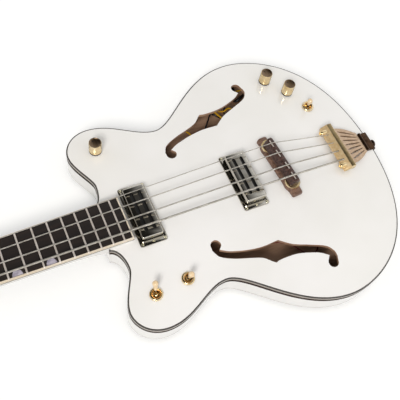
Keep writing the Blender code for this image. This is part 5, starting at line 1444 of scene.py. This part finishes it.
# %% Turn the jack and the buttons
barrel = turned([
    (0, -19.4), (3.3, -19.4), (3.3, 2), (3.9, 2.55), (5.2, 2.55), (5.6, 2.2), (5.9, 2.1),
    (5.9, -21.4), (0, -21.4),
], 36)
hexagon = slab([circle((0, 0), 8.9, 6), circle((0, 0), 5.95)], 0.7, 2.2, 0.3)
washer = turned([(5.95, 0.02), (8.9, 0.02), (8.9, 0.5), (8.6, 0.65), (5.95, 0.65)], 48, True)
jack = moved(together(barrel, hexagon, washer), (4.8, 195, 23), about("X", -90))
piece("output_socket", jack, gold, ["output_jack"])


def strap_button(length, head):
    """A button with a cross in its head and a screw of the length below."""
    bm = turned([
        (0, 11), (2.2, 11), (head - 1.6, 10.9), (head - 0.5, 10.5), (head, 9.8), (head, 9.1),
        (head - 0.4, 8.4), (head - 1.6, 7.6), (3.9, 6.7), (3.25, 5.6), (3.2, 3.8), (3.7, 2.2),
        (4.7, 0.9), (5.6, 0), (2.2, 0), (2.2, 3 - length), (0, -length),
    ], 40)
    for sizes in ((4.4, 1), (1, 4.4)):
        bm = carved(bm, slab([rounded(0, 0, *sizes, 0.3, 3)], 9.4, 13))
    return bm


tail_button = moved(strap_button(20, 5.8), (149.6, 0, 29), about("Y", 90))
piece("tail_button", tail_button, dark_bronze, ["tail_strap_button"])
heel_button = moved(strap_button(10, 7), (-280, 0, 21.96), about("X", 180))
piece("heel_button", heel_button, gold, ["heel_strap_button"])

# %% [markdown]
# ## Leads inside the body
# Through the f-holes one sees plastic-covered leads in yellow, black and red that join the
# pickups, switches, pots and the jack. Each is a smooth line through a few places. They
# bow where an installer leaves them long enough to lift the parts out.

# %% Run the leads
LEADS = {                # the insulation, its radius and the places that the lead passes
    "yellow": (yellow_plastic, 1.1, [
        (-207.5, 20, 36.8), (-196, 31, 24), (-167.5, 50, 14), (-130, 76, 15),
        (-100, 94, 20), (-91.6, 100.6, 26), (-93, 106, 27), (-95, 111, 26), (-88, 124, 20),
        (-64, 135, 18), (-47, 134, 24), (-43, 130, 26.5), (-38.5, 121, 26.5), (-34, 113.5, 25),
        (-27, 110.5, 20), (-16, 114, 22), (-14, 122, 26), (-19, 128.2, 27.5), (-29, 126.5, 26),
        (-33, 138, 18), (-10, 156, 18), (20, 158, 20), (36, 150, 24), (41, 146, 28),
    ]),
    "black": (black_plastic, 1.2, [
        (-207.5, 18, 36.8), (-196, 29, 23), (-167.5, 48, 13), (-130, 71, 12.5),
        (-91.5, 91, 14), (-76, 97, 20), (-69.2, 104.3, 26), (-58.9, 116.8, 27.5),
        (-50.7, 126.6, 26), (-44, 131, 20), (-38, 126, 18), (-32.7, 117.4, 24),
        (-27, 128, 26), (-23.3, 134.3, 26), (-16, 143, 19), (-5, 148, 18), (3.2, 160, 22),
        (4, 173, 23),
    ]),
    "ground": (black_plastic, 1.9, [
        (47, 146, 27.5), (36, 148, 25), (25, 148, 26), (15, 145, 27), (6, 141, 27),
        (0, 139, 24), (-2, 144, 20), (4.8, 160, 21.5), (4.8, 173, 22),
    ]),
    "red": (red_plastic, 0.8, [
        (-187, -100.6, 21), (-170, -92, 9), (-120, -78, 5.6), (-62, -82, 5.6),
        (-50, -84, 8), (-42, -88, 12), (-27.9, -98.9, 14), (-19, -109.5, 12), (-8, -118, 8),
        (8, -112, 5.8), (30, -60, 5.6), (62, 20, 5.6), (80, 66, 7), (86, 79, 20),
    ]),
}
leads = [
    (wire(flowing(points, 8), radius), index)
    for index, (_, radius, points) in enumerate(LEADS.values())
]
piece(
    "leads", together(*leads), [made for made, _, _ in LEADS.values()], ["wiring"]
)

# %% [markdown]
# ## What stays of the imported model
# Blocks, braces, pots and the truss rod are already right in form and hardly show, so they
# stay and only get their wood or metal.

# %% Finish the inner parts
INNER = {
    spruce: ["neck_block", "tail_block", "treble_brace", "bass_brace"],
    steel: ["horn_pot", "front_pot", "rear_pot", "truss_rod"],
}
for made, names in INNER.items():
    for name in names:
        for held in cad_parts[name].material_slots:
            held.material = made
print("Inner parts:", sum(len(names) for names in INNER.values()))
